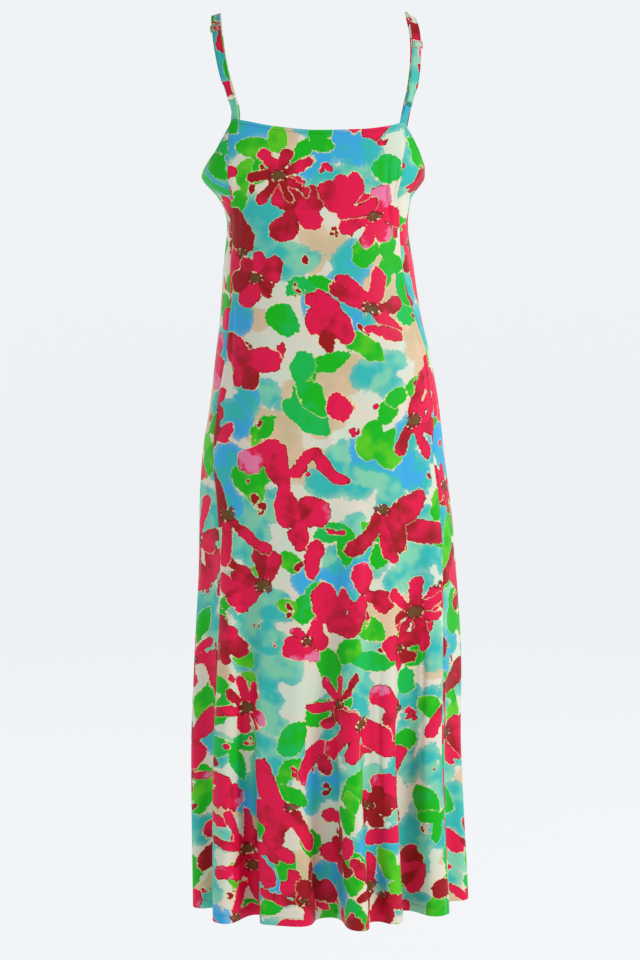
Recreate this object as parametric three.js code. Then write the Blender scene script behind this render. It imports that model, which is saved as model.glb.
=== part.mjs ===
// A long sundress with adjustable shoulder straps, hanging as it is worn.
// Millimetres, +Z up. The back of the dress faces -Y and its front +Y.
// The origin lies midway between the tops of the two straps, where the shoulders hold them.
import * as THREE from "three";

// Cloth
const WALL = 1.5;
const SEAM_GAP = 0.3;
const HEM_DROP = 1310;
const BODICE_DROP = 250;
const BODICE_ROWS = 4;
const SKIRT_ROWS = 22;
const ROW_CROWDING = 1.35;
const COLUMN_SPACING = 1.6;
const CLOTH_ROUGHNESS = 0.55;

// Skirt folds
const FOLD_STEPS = 3;
const FOLD_GROWTH = 1.3;
const FOLD_ROUNDING = 0.12;
const STEEP_FLANK = 40;

// Straps and the tabs that hang the rings from the back neckline
const STRAP_WIDTH = 14;
const STRAP_THICK = 1.2;
const STRAP_COLUMNS = 4;
const SHOULDER_STEPS = 22;
const BACK_STEPS = 7;
const TAB_STEPS = 4;
const TAB_BASE_WIDTH = 13;
const LAYER_STEP = 1.8;
const SEWN_LENGTH = 9;
const SEWN_CLEARANCE = 1.6;
const LINE_STEP = 0.5;

// Rings, and the loops of cloth round them
const CLEARANCE = 0.3;
const RING_WIRE = 1.4;
const RING_OUTER = 13.2;
const RING_RADIUS = (RING_OUTER - RING_WIRE) / 2;
const RING_SIDES = 8;
const RING_STEPS = 24;
const LOOP_WIDTH = 9;
const LOOP_RADIUS = RING_WIRE / 2 + 2 * CLEARANCE + STRAP_THICK / 2;
const LOOP_STEPS = 6;
const LOOP_STEM = 6;
const NARROWING = 16;

// Sliders
const SLIDER_WIDTH = 17.6;
const SLIDER_HEIGHT = 12.5;
const SLIDER_BAR = 1.5;
const SLIDER_THICK = 1;
const SLIDER_OUT = 1.4;
const SLIDER_CORNER = 1.2;
const SLOT_CORNER = 0.4;
const CORNER_STEPS = 3;
const METAL_ROUGHNESS = 0.3;
const METAL_METALNESS = 0.9;

// How far below the shoulders each ring's middle and each slider's middle hang, and how far round
// the chest each strap and tab is sewn in.
const SIDES = [
  { name: "left", outward: -1, ringDrop: 120, sliderDrop: 21, tabRound: -46, strapRound: -132 },
  { name: "right", outward: 1, ringDrop: 130, sliderDrop: 45, tabRound: 48, strapRound: 132 },
];

// Body and skirt, from the top down: how far the cloth reaches left, right, back and front,
// and how square its section is.
const SECTIONS = [
  { drop: 140, left: -149, right: 145, back: 86, front: 84, square: 0.06 },
  { drop: 195, left: -165, right: 152, back: 88, front: 104, square: 0.06 },
  { drop: 229, left: -172, right: 152, back: 87.5, front: 114, square: 0.06 },
  { drop: 264, left: -146, right: 132, back: 85.5, front: 107, square: 0.05 },
  { drop: 297, left: -135, right: 128, back: 84, front: 95, square: 0.04 },
  { drop: 365, left: -141, right: 137, back: 91, front: 95, square: 0.04 },
  { drop: 425, left: -145, right: 146, back: 103, front: 100, square: 0.04 },
  { drop: 485, left: -152, right: 160, back: 113, front: 105, square: 0.04 },
  { drop: 560, left: -161, right: 174, back: 117, front: 108, square: 0.03 },
  { drop: 630, left: -172, right: 182, back: 117, front: 110, square: 0.02 },
  { drop: 705, left: -177, right: 192, back: 116, front: 112, square: 0.01 },
  { drop: 780, left: -178, right: 200, back: 115, front: 113, square: 0 },
  { drop: 930, left: -185, right: 206, back: 113, front: 115, square: 0 },
  { drop: 1080, left: -190, right: 201, back: 111, front: 116, square: 0 },
  { drop: HEM_DROP, left: -187, right: 203, back: 110, front: 117, square: 0 },
];

// Where the two side-back seams run, in degrees round from the middle of the back.
const SEAMS = [
  { drop: 150, left: -50, right: 50 },
  { drop: 229, left: -41, right: 43.5 },
  { drop: 297, left: -66, right: 60 },
  { drop: 365, left: -63, right: 56 },
  { drop: 425, left: -60, right: 64 },
  { drop: 485, left: -60, right: 72 },
  { drop: 560, left: -66, right: 69 },
  { drop: 630, left: -63, right: 62 },
  { drop: 705, left: -57, right: 63 },
  { drop: 930, left: -54, right: 58 },
  { drop: HEM_DROP, left: -52, right: 62 },
];

// Top edge of the dress: necklines and armholes, in degrees round at the chest.
const TOP_EDGE = [
  { round: -180, drop: 200 },
  { round: -160, drop: 192 },
  { round: -137, drop: 169 },
  { round: -126, drop: 171 },
  { round: -118, drop: 211 },
  { round: -104, drop: 228 },
  { round: -90, drop: 231 },
  { round: -78, drop: 219 },
  { round: -64, drop: 196 },
  { round: -50, drop: 160.5 },
  { round: -46, drop: 150.5 },
  { round: -36, drop: 153.5 },
  { round: -20, drop: 161 },
  { round: 0, drop: 166.5 },
  { round: 20, drop: 165 },
  { round: 38, drop: 159 },
  { round: 46, drop: 155.5 },
  { round: 50, drop: 161 },
  { round: 64, drop: 190 },
  { round: 78, drop: 210 },
  { round: 92, drop: 219 },
  { round: 104, drop: 219 },
  { round: 118, drop: 202 },
  { round: 126, drop: 171 },
  { round: 137, drop: 169 },
  { round: 160, drop: 192 },
  { round: 180, drop: 200 },
];

// Crests (out above 0) and troughs (out below 0) of the skirt's folds: degrees round at the hem,
// how far each stands from the section at the hem, and how far down it begins.
const FOLDS = [
  { round: -91, out: -3, from: 700 },
  { round: -77, out: 7, from: 620 },
  { round: -61, out: -24, from: 640 },
  { round: -43.5, out: 37, from: 640 },
  { round: -33.5, out: -25, from: 700 },
  { round: -25, out: 18, from: 760 },
  { round: -12, out: 20, from: 740 },
  { round: 2, out: -28, from: 640 },
  { round: 14, out: 42, from: 640 },
  { round: 21.5, out: 0, from: 800 },
  { round: 30, out: 20, from: 820 },
  { round: 41, out: -38, from: 560 },
  { round: 57, out: 16, from: 620 },
  { round: 78, out: -20, from: 700 },
  { round: 104, out: 26, from: 760 },
  { round: 119, out: -20, from: 700 },
  { round: 132, out: 26, from: 640 },
  { round: 146, out: -26, from: 700 },
  { round: 158, out: 30, from: 620 },
  { round: 171, out: -18, from: 760 },
  { round: 184, out: 24, from: 700 },
  { round: 198, out: -30, from: 620 },
  { round: 212, out: 34, from: 640 },
  { round: 224, out: -16, from: 760 },
  { round: 236, out: 22, from: 700 },
  { round: 250, out: -24, from: 640 },
  { round: 262, out: 6, from: 760 },
];

// The two panels are each one cloth from top edge to hem. Here that cloth is parted level, by a
// seam's gap, into stretches that bend simply round the body: the grid rows each begins and ends at.
const STRETCHES = [
  { name: "bodice", firstRow: 0, lastRow: 6 },
  { name: "hip", firstRow: 6, lastRow: 13 },
  { name: "skirt", firstRow: 13, lastRow: 19 },
  { name: "hem", firstRow: 19, lastRow: 26 },
];

// A strap's middle line from the front of the chest over the shoulder to the back neckline,
// with the way its outer face looks: degrees round from straight back, and degrees upward.
const STRAP_LINE = [
  { depth: 65.5, drop: 138, left: -124, right: 126, turn: 148, leftRise: 4, rightRise: 4 },
  { depth: 63, drop: 100, left: -134, right: 134.5, turn: 152, leftRise: 12, rightRise: 12 },
  { depth: 54, drop: 60, left: -144, right: 138.5, turn: 153, leftRise: 24, rightRise: 24 },
  { depth: 40, drop: 26, left: -148, right: 137, turn: 148, leftRise: 42, rightRise: 40 },
  { depth: 22, drop: 5, left: -149, right: 131, turn: 130, leftRise: 62, rightRise: 52 },
  { depth: 0, drop: -1, left: -149.5, right: 128.5, turn: 90, leftRise: 74, rightRise: 54 },
  { depth: -20, drop: 5, left: -149.5, right: 132, turn: 52, leftRise: 62, rightRise: 50 },
  { depth: -36, drop: 23, left: -147.8, right: 136, turn: 30, leftRise: 38, rightRise: 36 },
  { depth: -50, drop: 50, left: -144, right: 137.5, turn: 25, leftRise: 20, rightRise: 20 },
  { depth: -60, drop: 84, left: -137, right: 135.5, turn: 25, leftRise: 8, rightRise: 8 },
  { depth: -64, drop: 112, left: -129, right: 131, turn: 25, leftRise: 3, rightRise: 3 },
  { depth: -65, drop: 138, left: -121.5, right: 123.5, turn: 25, leftRise: 1, rightRise: 1 },
];

const COLOURS = {
  back_panel: 0xd6246a,
  front_panel: 0x4fbfc9,
  strap: 0xe9ddc8,
  tab: 0x7fd0c8,
  metal: 0xd9b8ae,
};

const DEGREE = Math.PI / 180;

// A smooth curve through one column of a table, which never swings past its rows.
function smoothColumn(rows, key, column) {
  const at = rows.map((row) => row[key]);
  const level = rows.map((row) => row[column]);
  const rise = at.slice(1).map((edge, i) => (level[i + 1] - level[i]) / (edge - at[i]));
  const slope = at.map((_, i) => {
    const before = rise[Math.max(i - 1, 0)];
    const after = rise[Math.min(i, rise.length - 1)];
    return before * after > 0 ? (2 * before * after) / (before + after) : 0;
  });
  return (place) => {
    const x = THREE.MathUtils.clamp(place, at[0], at.at(-1));
    const i = Math.max(at.findIndex((edge) => edge >= x) - 1, 0);
    const span = at[i + 1] - at[i];
    const t = (x - at[i]) / span;
    const u = 1 - t;
    const start = u * u * ((1 + 2 * t) * level[i] + t * span * slope[i]);
    const end = t * t * ((3 - 2 * t) * level[i + 1] - u * span * slope[i + 1]);
    return start + end;
  };
}

const reach = {};
for (const side of ["left", "right", "back", "front", "square"]) {
  reach[side] = smoothColumn(SECTIONS, "drop", side);
}
const seamRound = {
  left: smoothColumn(SEAMS, "drop", "left"),
  right: smoothColumn(SEAMS, "drop", "right"),
};
const topDrop = smoothColumn(TOP_EDGE, "round", "drop");

// A column of cloth is known by where it lands at the hem, in degrees from the left seam's place
// round the back and then round the front. Higher up the seams carry it to another angle.
const LEFT_SEAM = SEAMS.at(-1).left;
const RIGHT_SEAM = SEAMS.at(-1).right;
const FULL_TURN = 360;

function roundAt(column, drop) {
  const left = seamRound.left(drop);
  const right = seamRound.right(drop);
  if (column <= RIGHT_SEAM) {
    return THREE.MathUtils.mapLinear(column, LEFT_SEAM, RIGHT_SEAM, left, right);
  }
  return THREE.MathUtils.mapLinear(
    column, RIGHT_SEAM, LEFT_SEAM + FULL_TURN, right, left + FULL_TURN,
  );
}

// The level section, before any fold.
function sectionPoint(round, drop) {
  const a = round * DEGREE;
  const square = reach.square(drop);
  const middle = (reach.left(drop) + reach.right(drop)) / 2;
  const halfWidth = (reach.right(drop) - reach.left(drop)) / 2;
  const depth = Math.cos(a) > 0 ? reach.back(drop) : reach.front(drop);
  return new THREE.Vector3(
    middle + (halfWidth * (Math.sin(a) + square * Math.sin(3 * a))) / (1 - square),
    (-depth * (Math.cos(a) - square * Math.cos(3 * a))) / (1 - square),
    -drop,
  );
}

// How far a fold has opened by the time it has come down to drop.
function growth(from, drop) {
  return Math.max((drop - from) / (HEM_DROP - from), 0) ** FOLD_GROWTH;
}

// The fold that a column lies on: how far it stands out, and how far it is drawn sideways
// so that crests and troughs are round and their flanks steep.
function foldAt(column, drop) {
  const first = FOLDS[0].round;
  const turn = first + THREE.MathUtils.euclideanModulo(column - first, FULL_TURN);
  const i = FOLDS.findLastIndex((fold) => fold.round <= turn);
  const fold = FOLDS[i];
  const next = FOLDS[(i + 1) % FOLDS.length];
  const span = THREE.MathUtils.euclideanModulo(next.round - fold.round, FULL_TURN);
  const phase = (Math.PI * (turn - fold.round)) / span;
  const here = fold.out * growth(fold.from, drop);
  const there = next.out * growth(next.from, drop);
  const steepness = Math.min(Math.abs(here - there) / STEEP_FLANK, 1);
  return {
    out: (here + there) / 2 + ((here - there) / 2) * Math.cos(phase),
    aside: FOLD_ROUNDING * span * steepness * Math.sin(2 * phase),
  };
}

// A point on the outer face of the cloth.
function clothPoint(column, drop) {
  const fold = foldAt(column, drop);
  const round = roundAt(column, drop) + fold.aside;
  const point = sectionPoint(round, drop);
  const along = sectionPoint(round + 1, drop).sub(sectionPoint(round - 1, drop)).normalize();
  point.x += along.y * fold.out;
  point.y -= along.x * fold.out;
  return point;
}

// The way the cloth's outer face looks.
function clothFacing(column, drop) {
  const step = 0.4;
  const along = clothPoint(column + step, drop).sub(clothPoint(column - step, drop));
  const down = clothPoint(column, drop + step).sub(clothPoint(column, drop - step));
  return down.cross(along).normalize();
}

// A mesh of cloth from triangles given as corner numbers.
function clothMesh(name, points, faces, colour) {
  const geometry = new THREE.BufferGeometry();
  geometry.setAttribute(
    "position",
    new THREE.Float32BufferAttribute(points.flatMap((point) => point.toArray()), 3),
  );
  geometry.setIndex(faces);
  geometry.computeVertexNormals();
  const material = new THREE.MeshStandardMaterial({
    color: colour, roughness: CLOTH_ROUGHNESS, metalness: 0,
  });
  const mesh = new THREE.Mesh(geometry, material);
  mesh.name = name;
  return mesh;
}

// A wall between two grids of points of the same size, closed round its four edges.
function wallFaces(rows, columns) {
  const faces = [];
  const inner = rows * columns;
  const at = (row, column) => row * columns + column;
  const quad = (a, b, c, d) => faces.push(a, b, c, a, c, d);
  for (let row = 0; row < rows - 1; row++) {
    for (let column = 0; column < columns - 1; column++) {
      const a = at(row, column);
      const b = at(row + 1, column);
      const c = at(row + 1, column + 1);
      const d = at(row, column + 1);
      quad(a, b, c, d);
      quad(inner + d, inner + c, inner + b, inner + a);
    }
  }
  for (let column = 0; column < columns - 1; column++) {
    const a = at(0, column);
    const b = at(0, column + 1);
    quad(a, b, inner + b, inner + a);
    const c = at(rows - 1, column);
    const d = at(rows - 1, column + 1);
    quad(d, c, inner + c, inner + d);
  }
  for (let row = 0; row < rows - 1; row++) {
    const a = at(row, 0);
    const b = at(row + 1, 0);
    quad(a, inner + a, inner + b, b);
    const c = at(row, columns - 1);
    const d = at(row + 1, columns - 1);
    quad(c, d, inner + d, inner + c);
  }
  return faces;
}

// The columns of a panel: the seams at its ends, and between them the turns of its top edge and
// each fold cut into even steps, none closer than COLUMN_SPACING.
function panelColumns(start, end) {
  const columns = TOP_EDGE.map((row) => (
    start + THREE.MathUtils.euclideanModulo(columnAt(row.round) - start, FULL_TURN)
  ));
  FOLDS.forEach((fold, i) => {
    const next = FOLDS[(i + 1) % FOLDS.length];
    const span = THREE.MathUtils.euclideanModulo(next.round - fold.round, FULL_TURN);
    for (let step = 0; step < FOLD_STEPS; step++) {
      const column = fold.round + (span * step) / FOLD_STEPS;
      columns.push(start + THREE.MathUtils.euclideanModulo(column - start, FULL_TURN));
    }
  });
  const kept = [start];
  for (const column of columns.sort((a, b) => a - b)) {
    if (column > kept.at(-1) + COLUMN_SPACING && column < end - COLUMN_SPACING) kept.push(column);
  }
  return [...kept, end];
}

// How far down a row of the cloth's grid lies: spread from the top edge to the bodice's level
// line, and from there down level, closer together where the body's curve is strong.
function rowDrop(row, top) {
  if (row <= BODICE_ROWS) return THREE.MathUtils.lerp(top, BODICE_DROP, row / BODICE_ROWS);
  const share = ((row - BODICE_ROWS) / SKIRT_ROWS) ** ROW_CROWDING;
  return THREE.MathUtils.lerp(BODICE_DROP, HEM_DROP, share);
}

// One level stretch of a panel, as a wall that stands clear of the stretches above and below it.
function clothPanel(panel, start, end, stretch) {
  const columns = panelColumns(start, end);
  const lowestRow = BODICE_ROWS + SKIRT_ROWS;
  const outer = [];
  const inner = [];
  for (let row = stretch.firstRow; row <= stretch.lastRow; row++) {
    columns.forEach((column, i) => {
      const drop = rowDrop(row, topDrop(wrapped(roundAt(column, SEAMS[0].drop))));
      const point = clothPoint(column, drop);
      const facing = clothFacing(column, drop);
      const level = new THREE.Vector3(facing.y, -facing.x, 0).normalize();
      if (i === 0) point.addScaledVector(level, -SEAM_GAP / 2);
      if (i === columns.length - 1) point.addScaledVector(level, SEAM_GAP / 2);
      if (row === stretch.firstRow && row > 0) point.z -= SEAM_GAP / 2;
      if (row === stretch.lastRow && row < lowestRow) point.z += SEAM_GAP / 2;
      outer.push(point);
      inner.push(point.clone().addScaledVector(facing, -WALL));
    });
  }
  const faces = wallFaces(stretch.lastRow - stretch.firstRow + 1, columns.length);
  return clothMesh(`${panel}_${stretch.name}`, [...outer, ...inner], faces, COLOURS[panel]);
}

// An angle brought between minus and plus half a turn.
function wrapped(round) {
  return THREE.MathUtils.euclideanModulo(round + FULL_TURN / 2, FULL_TURN) - FULL_TURN / 2;
}

// The column of cloth that passes an angle at the chest.
function columnAt(round) {
  const chest = SEAMS[0];
  if (Math.abs(round) <= chest.right) {
    return THREE.MathUtils.mapLinear(round, chest.left, chest.right, LEFT_SEAM, RIGHT_SEAM);
  }
  const turn = THREE.MathUtils.euclideanModulo(round, FULL_TURN);
  return THREE.MathUtils.mapLinear(
    turn, chest.right, chest.left + FULL_TURN, RIGHT_SEAM, LEFT_SEAM + FULL_TURN,
  );
}

// A station of a strap's line where it lies sewn behind the cloth, so far below its top edge.
function sewnStation(round, belowEdge) {
  const column = columnAt(round);
  const drop = topDrop(round) + belowEdge;
  const facing = clothFacing(column, drop);
  const depth = WALL + SEWN_CLEARANCE + STRAP_THICK / 2;
  return { point: clothPoint(column, drop).addScaledVector(facing, -depth), facing };
}

// One side's line from where the strap is sewn to the front, over the shoulder, to where the
// tab is sewn to the back. at(along) gives its point, its run, its breadth and its outer facing.
function strapLine(side) {
  const over = STRAP_LINE.map((row) => {
    const rise = row[`${side.name}Rise`] * DEGREE;
    const turn = row.turn * DEGREE;
    const level = Math.cos(rise);
    return {
      point: new THREE.Vector3(row[side.name], row.depth, -row.drop),
      facing: new THREE.Vector3(
        side.outward * Math.sin(turn) * level, -Math.cos(turn) * level, Math.sin(rise),
      ),
    };
  });
  const stations = [
    sewnStation(side.strapRound, SEWN_LENGTH),
    sewnStation(side.strapRound, 0),
    ...over,
    sewnStation(side.tabRound, 0),
    sewnStation(side.tabRound, SEWN_LENGTH),
  ];
  const curve = new THREE.CatmullRomCurve3(stations.map((station) => station.point));
  const length = curve.getLength();
  const at = (along) => {
    const share = THREE.MathUtils.clamp(along / length, 0, 1);
    const place = curve.getUtoTmapping(share) * (stations.length - 1);
    const i = Math.min(Math.floor(place), stations.length - 2);
    const run = curve.getTangentAt(share);
    const facing = stations[i].facing.clone().lerp(stations[i + 1].facing, place - i);
    const breadth = facing.cross(run).normalize();
    return {
      point: curve.getPointAt(share), run, breadth, facing: run.clone().cross(breadth),
    };
  };
  const alongAtDrop = (drop) => {
    let along = length;
    while (-at(along).point.z > drop) along -= LINE_STEP;
    return along;
  };
  return { length, at, alongAtDrop };
}

// How far a ring's wire falls away from its highest point, so far across from its middle.
function ringFall(across) {
  const within = Math.min(Math.abs(across), RING_RADIUS);
  return RING_RADIUS - Math.sqrt(RING_RADIUS ** 2 - within ** 2);
}

// A flat strip of cloth along a path of stations on a strap's line: how far along the line,
// how far out from it, how wide, and how much it follows the ring's curve (up 1, down -1).
function strip(name, line, path, colour) {
  const outer = [];
  const inner = [];
  path.forEach((station, i) => {
    const before = path[Math.max(i - 1, 0)];
    const after = path[Math.min(i + 1, path.length - 1)];
    const heading = new THREE.Vector2(after.along - before.along, after.out - before.out);
    heading.normalize();
    for (let column = 0; column <= STRAP_COLUMNS; column++) {
      const across = (column / STRAP_COLUMNS - 0.5) * station.width;
      const along = station.along + station.hug * ringFall(across);
      const { point, run, breadth, facing } = line.at(along);
      point.addScaledVector(facing, station.out).addScaledVector(breadth, across);
      const thick = facing.clone().multiplyScalar(heading.x).addScaledVector(run, -heading.y);
      outer.push(point.clone().addScaledVector(thick, STRAP_THICK / 2));
      inner.push(point.clone().addScaledVector(thick, -STRAP_THICK / 2));
    }
  });
  const faces = wallFaces(path.length, STRAP_COLUMNS + 1);
  return clothMesh(name, [...outer, ...inner], faces, colour);
}

// The stations of a loop round a wire, from its outer layer to its inner one. heading is 1 where
// the loop hangs below the wire's middle and -1 where it rises above it.
function loopStations(wireAlong, heading) {
  const stations = [];
  for (let step = 0; step <= LOOP_STEPS; step++) {
    const turn = (Math.PI * step) / LOOP_STEPS;
    stations.push({
      along: wireAlong + heading * LOOP_RADIUS * Math.sin(turn),
      out: -LAYER_STEP / 2 + LOOP_RADIUS * Math.cos(turn),
      width: LOOP_WIDTH,
      hug: heading,
    });
  }
  return stations;
}

// What make gives at even steps from start to end.
function even(start, end, steps, make) {
  return Array.from({ length: steps + 1 }, (_, i) => make(start + ((end - start) * i) / steps));
}

// The strap: one layer from the front to the slider, over its middle bar, down to the ring and
// round it, and a second layer back up to end at the middle bar.
function strap(side, line) {
  const slider = line.alongAtDrop(side.sliderDrop);
  const ring = line.alongAtDrop(side.ringDrop);
  const wire = ring - RING_RADIUS;
  const stem = wire - LOOP_STEM;
  const plain = (along, out) => {
    const narrowed = THREE.MathUtils.smoothstep(along, stem - NARROWING, stem);
    const width = THREE.MathUtils.lerp(STRAP_WIDTH, LOOP_WIDTH, narrowed);
    return { along, out, width, hug: 0 };
  };
  const overBar = SLIDER_OUT + SLIDER_THICK / 2 + CLEARANCE + STRAP_THICK / 2;
  const underBar = SLIDER_OUT - SLIDER_THICK / 2 - CLEARANCE - STRAP_THICK / 2;
  const slot = SLIDER_HEIGHT / 2 - SLIDER_BAR;
  const path = [
    ...even(0, slider - slot, SHOULDER_STEPS, (along) => plain(along, 0)),
    plain(slider - SLIDER_BAR, overBar),
    plain(slider + SLIDER_BAR, overBar),
    ...even(slider + slot, stem, BACK_STEPS, (along) => plain(along, 0)),
    ...loopStations(wire, 1),
    ...even(stem, slider + slot, BACK_STEPS, (along) => plain(along, -LAYER_STEP)),
    plain(slider + SLIDER_BAR, underBar),
    plain(slider - SLIDER_BAR / 2, underBar),
  ];
  return strip(`${side.name}_strap`, line, path, COLOURS.strap);
}

// The tab: a loop that hangs the ring from the back neckline, sewn in behind the cloth.
function tab(side, line) {
  const wire = line.alongAtDrop(side.ringDrop) + RING_RADIUS;
  const stem = wire + LOOP_STEM;
  const plain = (along, out) => {
    const widened = THREE.MathUtils.smoothstep(along, stem, line.length);
    const width = THREE.MathUtils.lerp(LOOP_WIDTH, TAB_BASE_WIDTH, widened);
    return { along, out, width, hug: 0 };
  };
  const path = [
    ...even(line.length, stem, TAB_STEPS, (along) => plain(along, 0)),
    ...loopStations(wire, -1),
    ...even(stem, line.length, TAB_STEPS, (along) => plain(along, -LAYER_STEP)),
  ];
  return strip(`${side.name}_tab`, line, path, COLOURS.tab);
}

// Sets a piece of hardware on a strap's line, its own X across, its Y up and its Z outwards.
function setOn(mesh, line, along, out) {
  const { point, run, breadth, facing } = line.at(along);
  const turned = new THREE.Matrix4().makeBasis(breadth, run.clone().negate(), facing);
  mesh.position.copy(point).addScaledVector(facing, out);
  mesh.quaternion.setFromRotationMatrix(turned);
  return mesh;
}

function metalMesh(name, geometry) {
  const material = new THREE.MeshStandardMaterial({
    color: COLOURS.metal, roughness: METAL_ROUGHNESS, metalness: METAL_METALNESS,
  });
  const mesh = new THREE.Mesh(geometry, material);
  mesh.name = name;
  return mesh;
}

function ring(side, line) {
  const geometry = new THREE.TorusGeometry(RING_RADIUS, RING_WIRE / 2, RING_SIDES, RING_STEPS);
  const mesh = metalMesh(`${side.name}_ring`, geometry);
  return setOn(mesh, line, line.alongAtDrop(side.ringDrop), -LAYER_STEP / 2);
}

// An upright rectangle about the origin, with its corners rounded.
function roundedRectangle(path, width, height, corner, middle = 0) {
  const right = width / 2;
  const top = height / 2;
  path.moveTo(-right + corner, middle - top);
  path.lineTo(right - corner, middle - top);
  path.absarc(right - corner, middle - top + corner, corner, -Math.PI / 2, 0);
  path.absarc(right - corner, middle + top - corner, corner, 0, Math.PI / 2);
  path.absarc(-right + corner, middle + top - corner, corner, Math.PI / 2, Math.PI);
  path.absarc(-right + corner, middle - top + corner, corner, Math.PI, 1.5 * Math.PI);
  return path;
}

// The slider: a flat frame with a middle bar, so two slots.
function slider(side, line) {
  const frame = roundedRectangle(
    new THREE.Shape(), SLIDER_WIDTH, SLIDER_HEIGHT, SLIDER_CORNER,
  );
  const slotHeight = (SLIDER_HEIGHT - 3 * SLIDER_BAR) / 2;
  for (const above of [-1, 1]) {
    const middle = (above * (slotHeight + SLIDER_BAR)) / 2;
    const slotWidth = SLIDER_WIDTH - 2 * SLIDER_BAR;
    const slot = roundedRectangle(
      new THREE.Path(), slotWidth, slotHeight, SLOT_CORNER, middle,
    );
    frame.holes.push(slot);
  }
  const geometry = new THREE.ExtrudeGeometry(frame, {
    depth: SLIDER_THICK, bevelEnabled: false, curveSegments: CORNER_STEPS,
  });
  geometry.translate(0, 0, -SLIDER_THICK / 2);
  const mesh = metalMesh(`${side.name}_slider`, geometry);
  return setOn(mesh, line, line.alongAtDrop(side.sliderDrop), SLIDER_OUT);
}

const dress = new THREE.Group();
for (const stretch of STRETCHES) {
  dress.add(clothPanel("back_panel", LEFT_SEAM, RIGHT_SEAM, stretch));
  dress.add(clothPanel("front_panel", RIGHT_SEAM, LEFT_SEAM + FULL_TURN, stretch));
}
for (const side of SIDES) {
  const line = strapLine(side);
  dress.add(strap(side, line), tab(side, line), ring(side, line), slider(side, line));
}

export default dress;
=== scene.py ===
"""A long sundress of printed jersey with adjustable straps, hanging as it is worn."""

import math

import bpy
import numpy as np
from mathutils import Matrix, Vector


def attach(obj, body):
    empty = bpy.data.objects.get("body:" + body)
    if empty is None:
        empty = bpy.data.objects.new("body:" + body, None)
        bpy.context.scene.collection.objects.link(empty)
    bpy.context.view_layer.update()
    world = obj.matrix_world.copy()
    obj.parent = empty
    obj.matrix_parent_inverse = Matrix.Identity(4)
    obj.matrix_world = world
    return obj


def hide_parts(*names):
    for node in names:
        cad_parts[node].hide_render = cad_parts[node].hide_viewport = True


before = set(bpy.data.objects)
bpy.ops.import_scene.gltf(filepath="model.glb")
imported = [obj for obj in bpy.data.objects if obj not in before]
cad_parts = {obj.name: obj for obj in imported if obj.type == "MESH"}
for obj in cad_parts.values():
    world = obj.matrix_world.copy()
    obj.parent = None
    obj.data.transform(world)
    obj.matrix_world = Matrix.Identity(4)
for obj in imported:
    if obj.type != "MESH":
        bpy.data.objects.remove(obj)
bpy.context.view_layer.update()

bl_info = {
    "name": "Printed sundress",
    "version": (1, 0, 0),
    "blender": (4, 5, 0),
    "location": "3D View > Sidebar > Sundress",
    "description": "Makes a long strappy sundress of printed jersey, with its stitching and strap hardware",
    "category": "Add Mesh",
}

MM = 0.001
DEGREE = math.pi / 180
FULL_TURN = 360.0
BODY = "root"
CLOTH_SLOT = "printed_jersey"
JERSEY = "jersey_print"
METAL_SLOT = "metal"


def table(columns, *rows):
    """A short table as named columns, one row for each section, fold, crease or station."""
    return dict(zip(columns.split(), np.array(rows, dtype=float).T))


# The body from the top down, in metres below the shoulders: how far the cloth reaches left, right,
# back and front, and how square its level section is.
SECTIONS = table(
    "drop left right back front square",
    (0.140, -0.149, 0.145, 0.086, 0.084, 0.06),
    (0.195, -0.165, 0.152, 0.088, 0.104, 0.06),
    (0.229, -0.172, 0.152, 0.0875, 0.114, 0.06),
    (0.264, -0.146, 0.132, 0.0855, 0.107, 0.05),
    (0.297, -0.135, 0.128, 0.084, 0.095, 0.04),
    (0.365, -0.141, 0.137, 0.091, 0.095, 0.04),
    (0.425, -0.145, 0.146, 0.103, 0.100, 0.04),
    (0.485, -0.152, 0.160, 0.113, 0.105, 0.04),
    (0.560, -0.161, 0.174, 0.117, 0.108, 0.03),
    (0.630, -0.172, 0.182, 0.117, 0.110, 0.02),
    (0.705, -0.177, 0.192, 0.116, 0.112, 0.01),
    (0.780, -0.178, 0.200, 0.115, 0.113, 0),
    (0.930, -0.185, 0.206, 0.113, 0.115, 0),
    (1.080, -0.190, 0.201, 0.111, 0.116, 0),
    (1.310, -0.187, 0.203, 0.110, 0.117, 0),
)

# The two side-back seams, in degrees round from the middle of the back.
SEAMS = table(
    "drop left right",
    (0.150, -50, 50),
    (0.229, -41, 43.5),
    (0.297, -66, 60),
    (0.365, -63, 56),
    (0.425, -60, 64),
    (0.485, -60, 72),
    (0.560, -66, 69),
    (0.630, -63, 62),
    (0.705, -57, 63),
    (0.930, -54, 58),
    (1.310, -52, 62),
)

# The top edge round the chest: necklines, armholes and the peaks that the straps hang from.
TOP_EDGE = table(
    "round drop",
    (-180, 0.200), (-160, 0.192), (-137, 0.169), (-126, 0.171), (-118, 0.211), (-104, 0.228),
    (-90, 0.231), (-78, 0.219), (-64, 0.196), (-50, 0.1605), (-46, 0.1505), (-36, 0.1535),
    (-20, 0.161), (0, 0.1665), (20, 0.165), (38, 0.159), (46, 0.1555), (50, 0.161), (64, 0.190),
    (78, 0.210), (92, 0.219), (104, 0.219), (118, 0.202), (126, 0.171), (137, 0.169),
    (160, 0.192), (180, 0.200),
)

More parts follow.
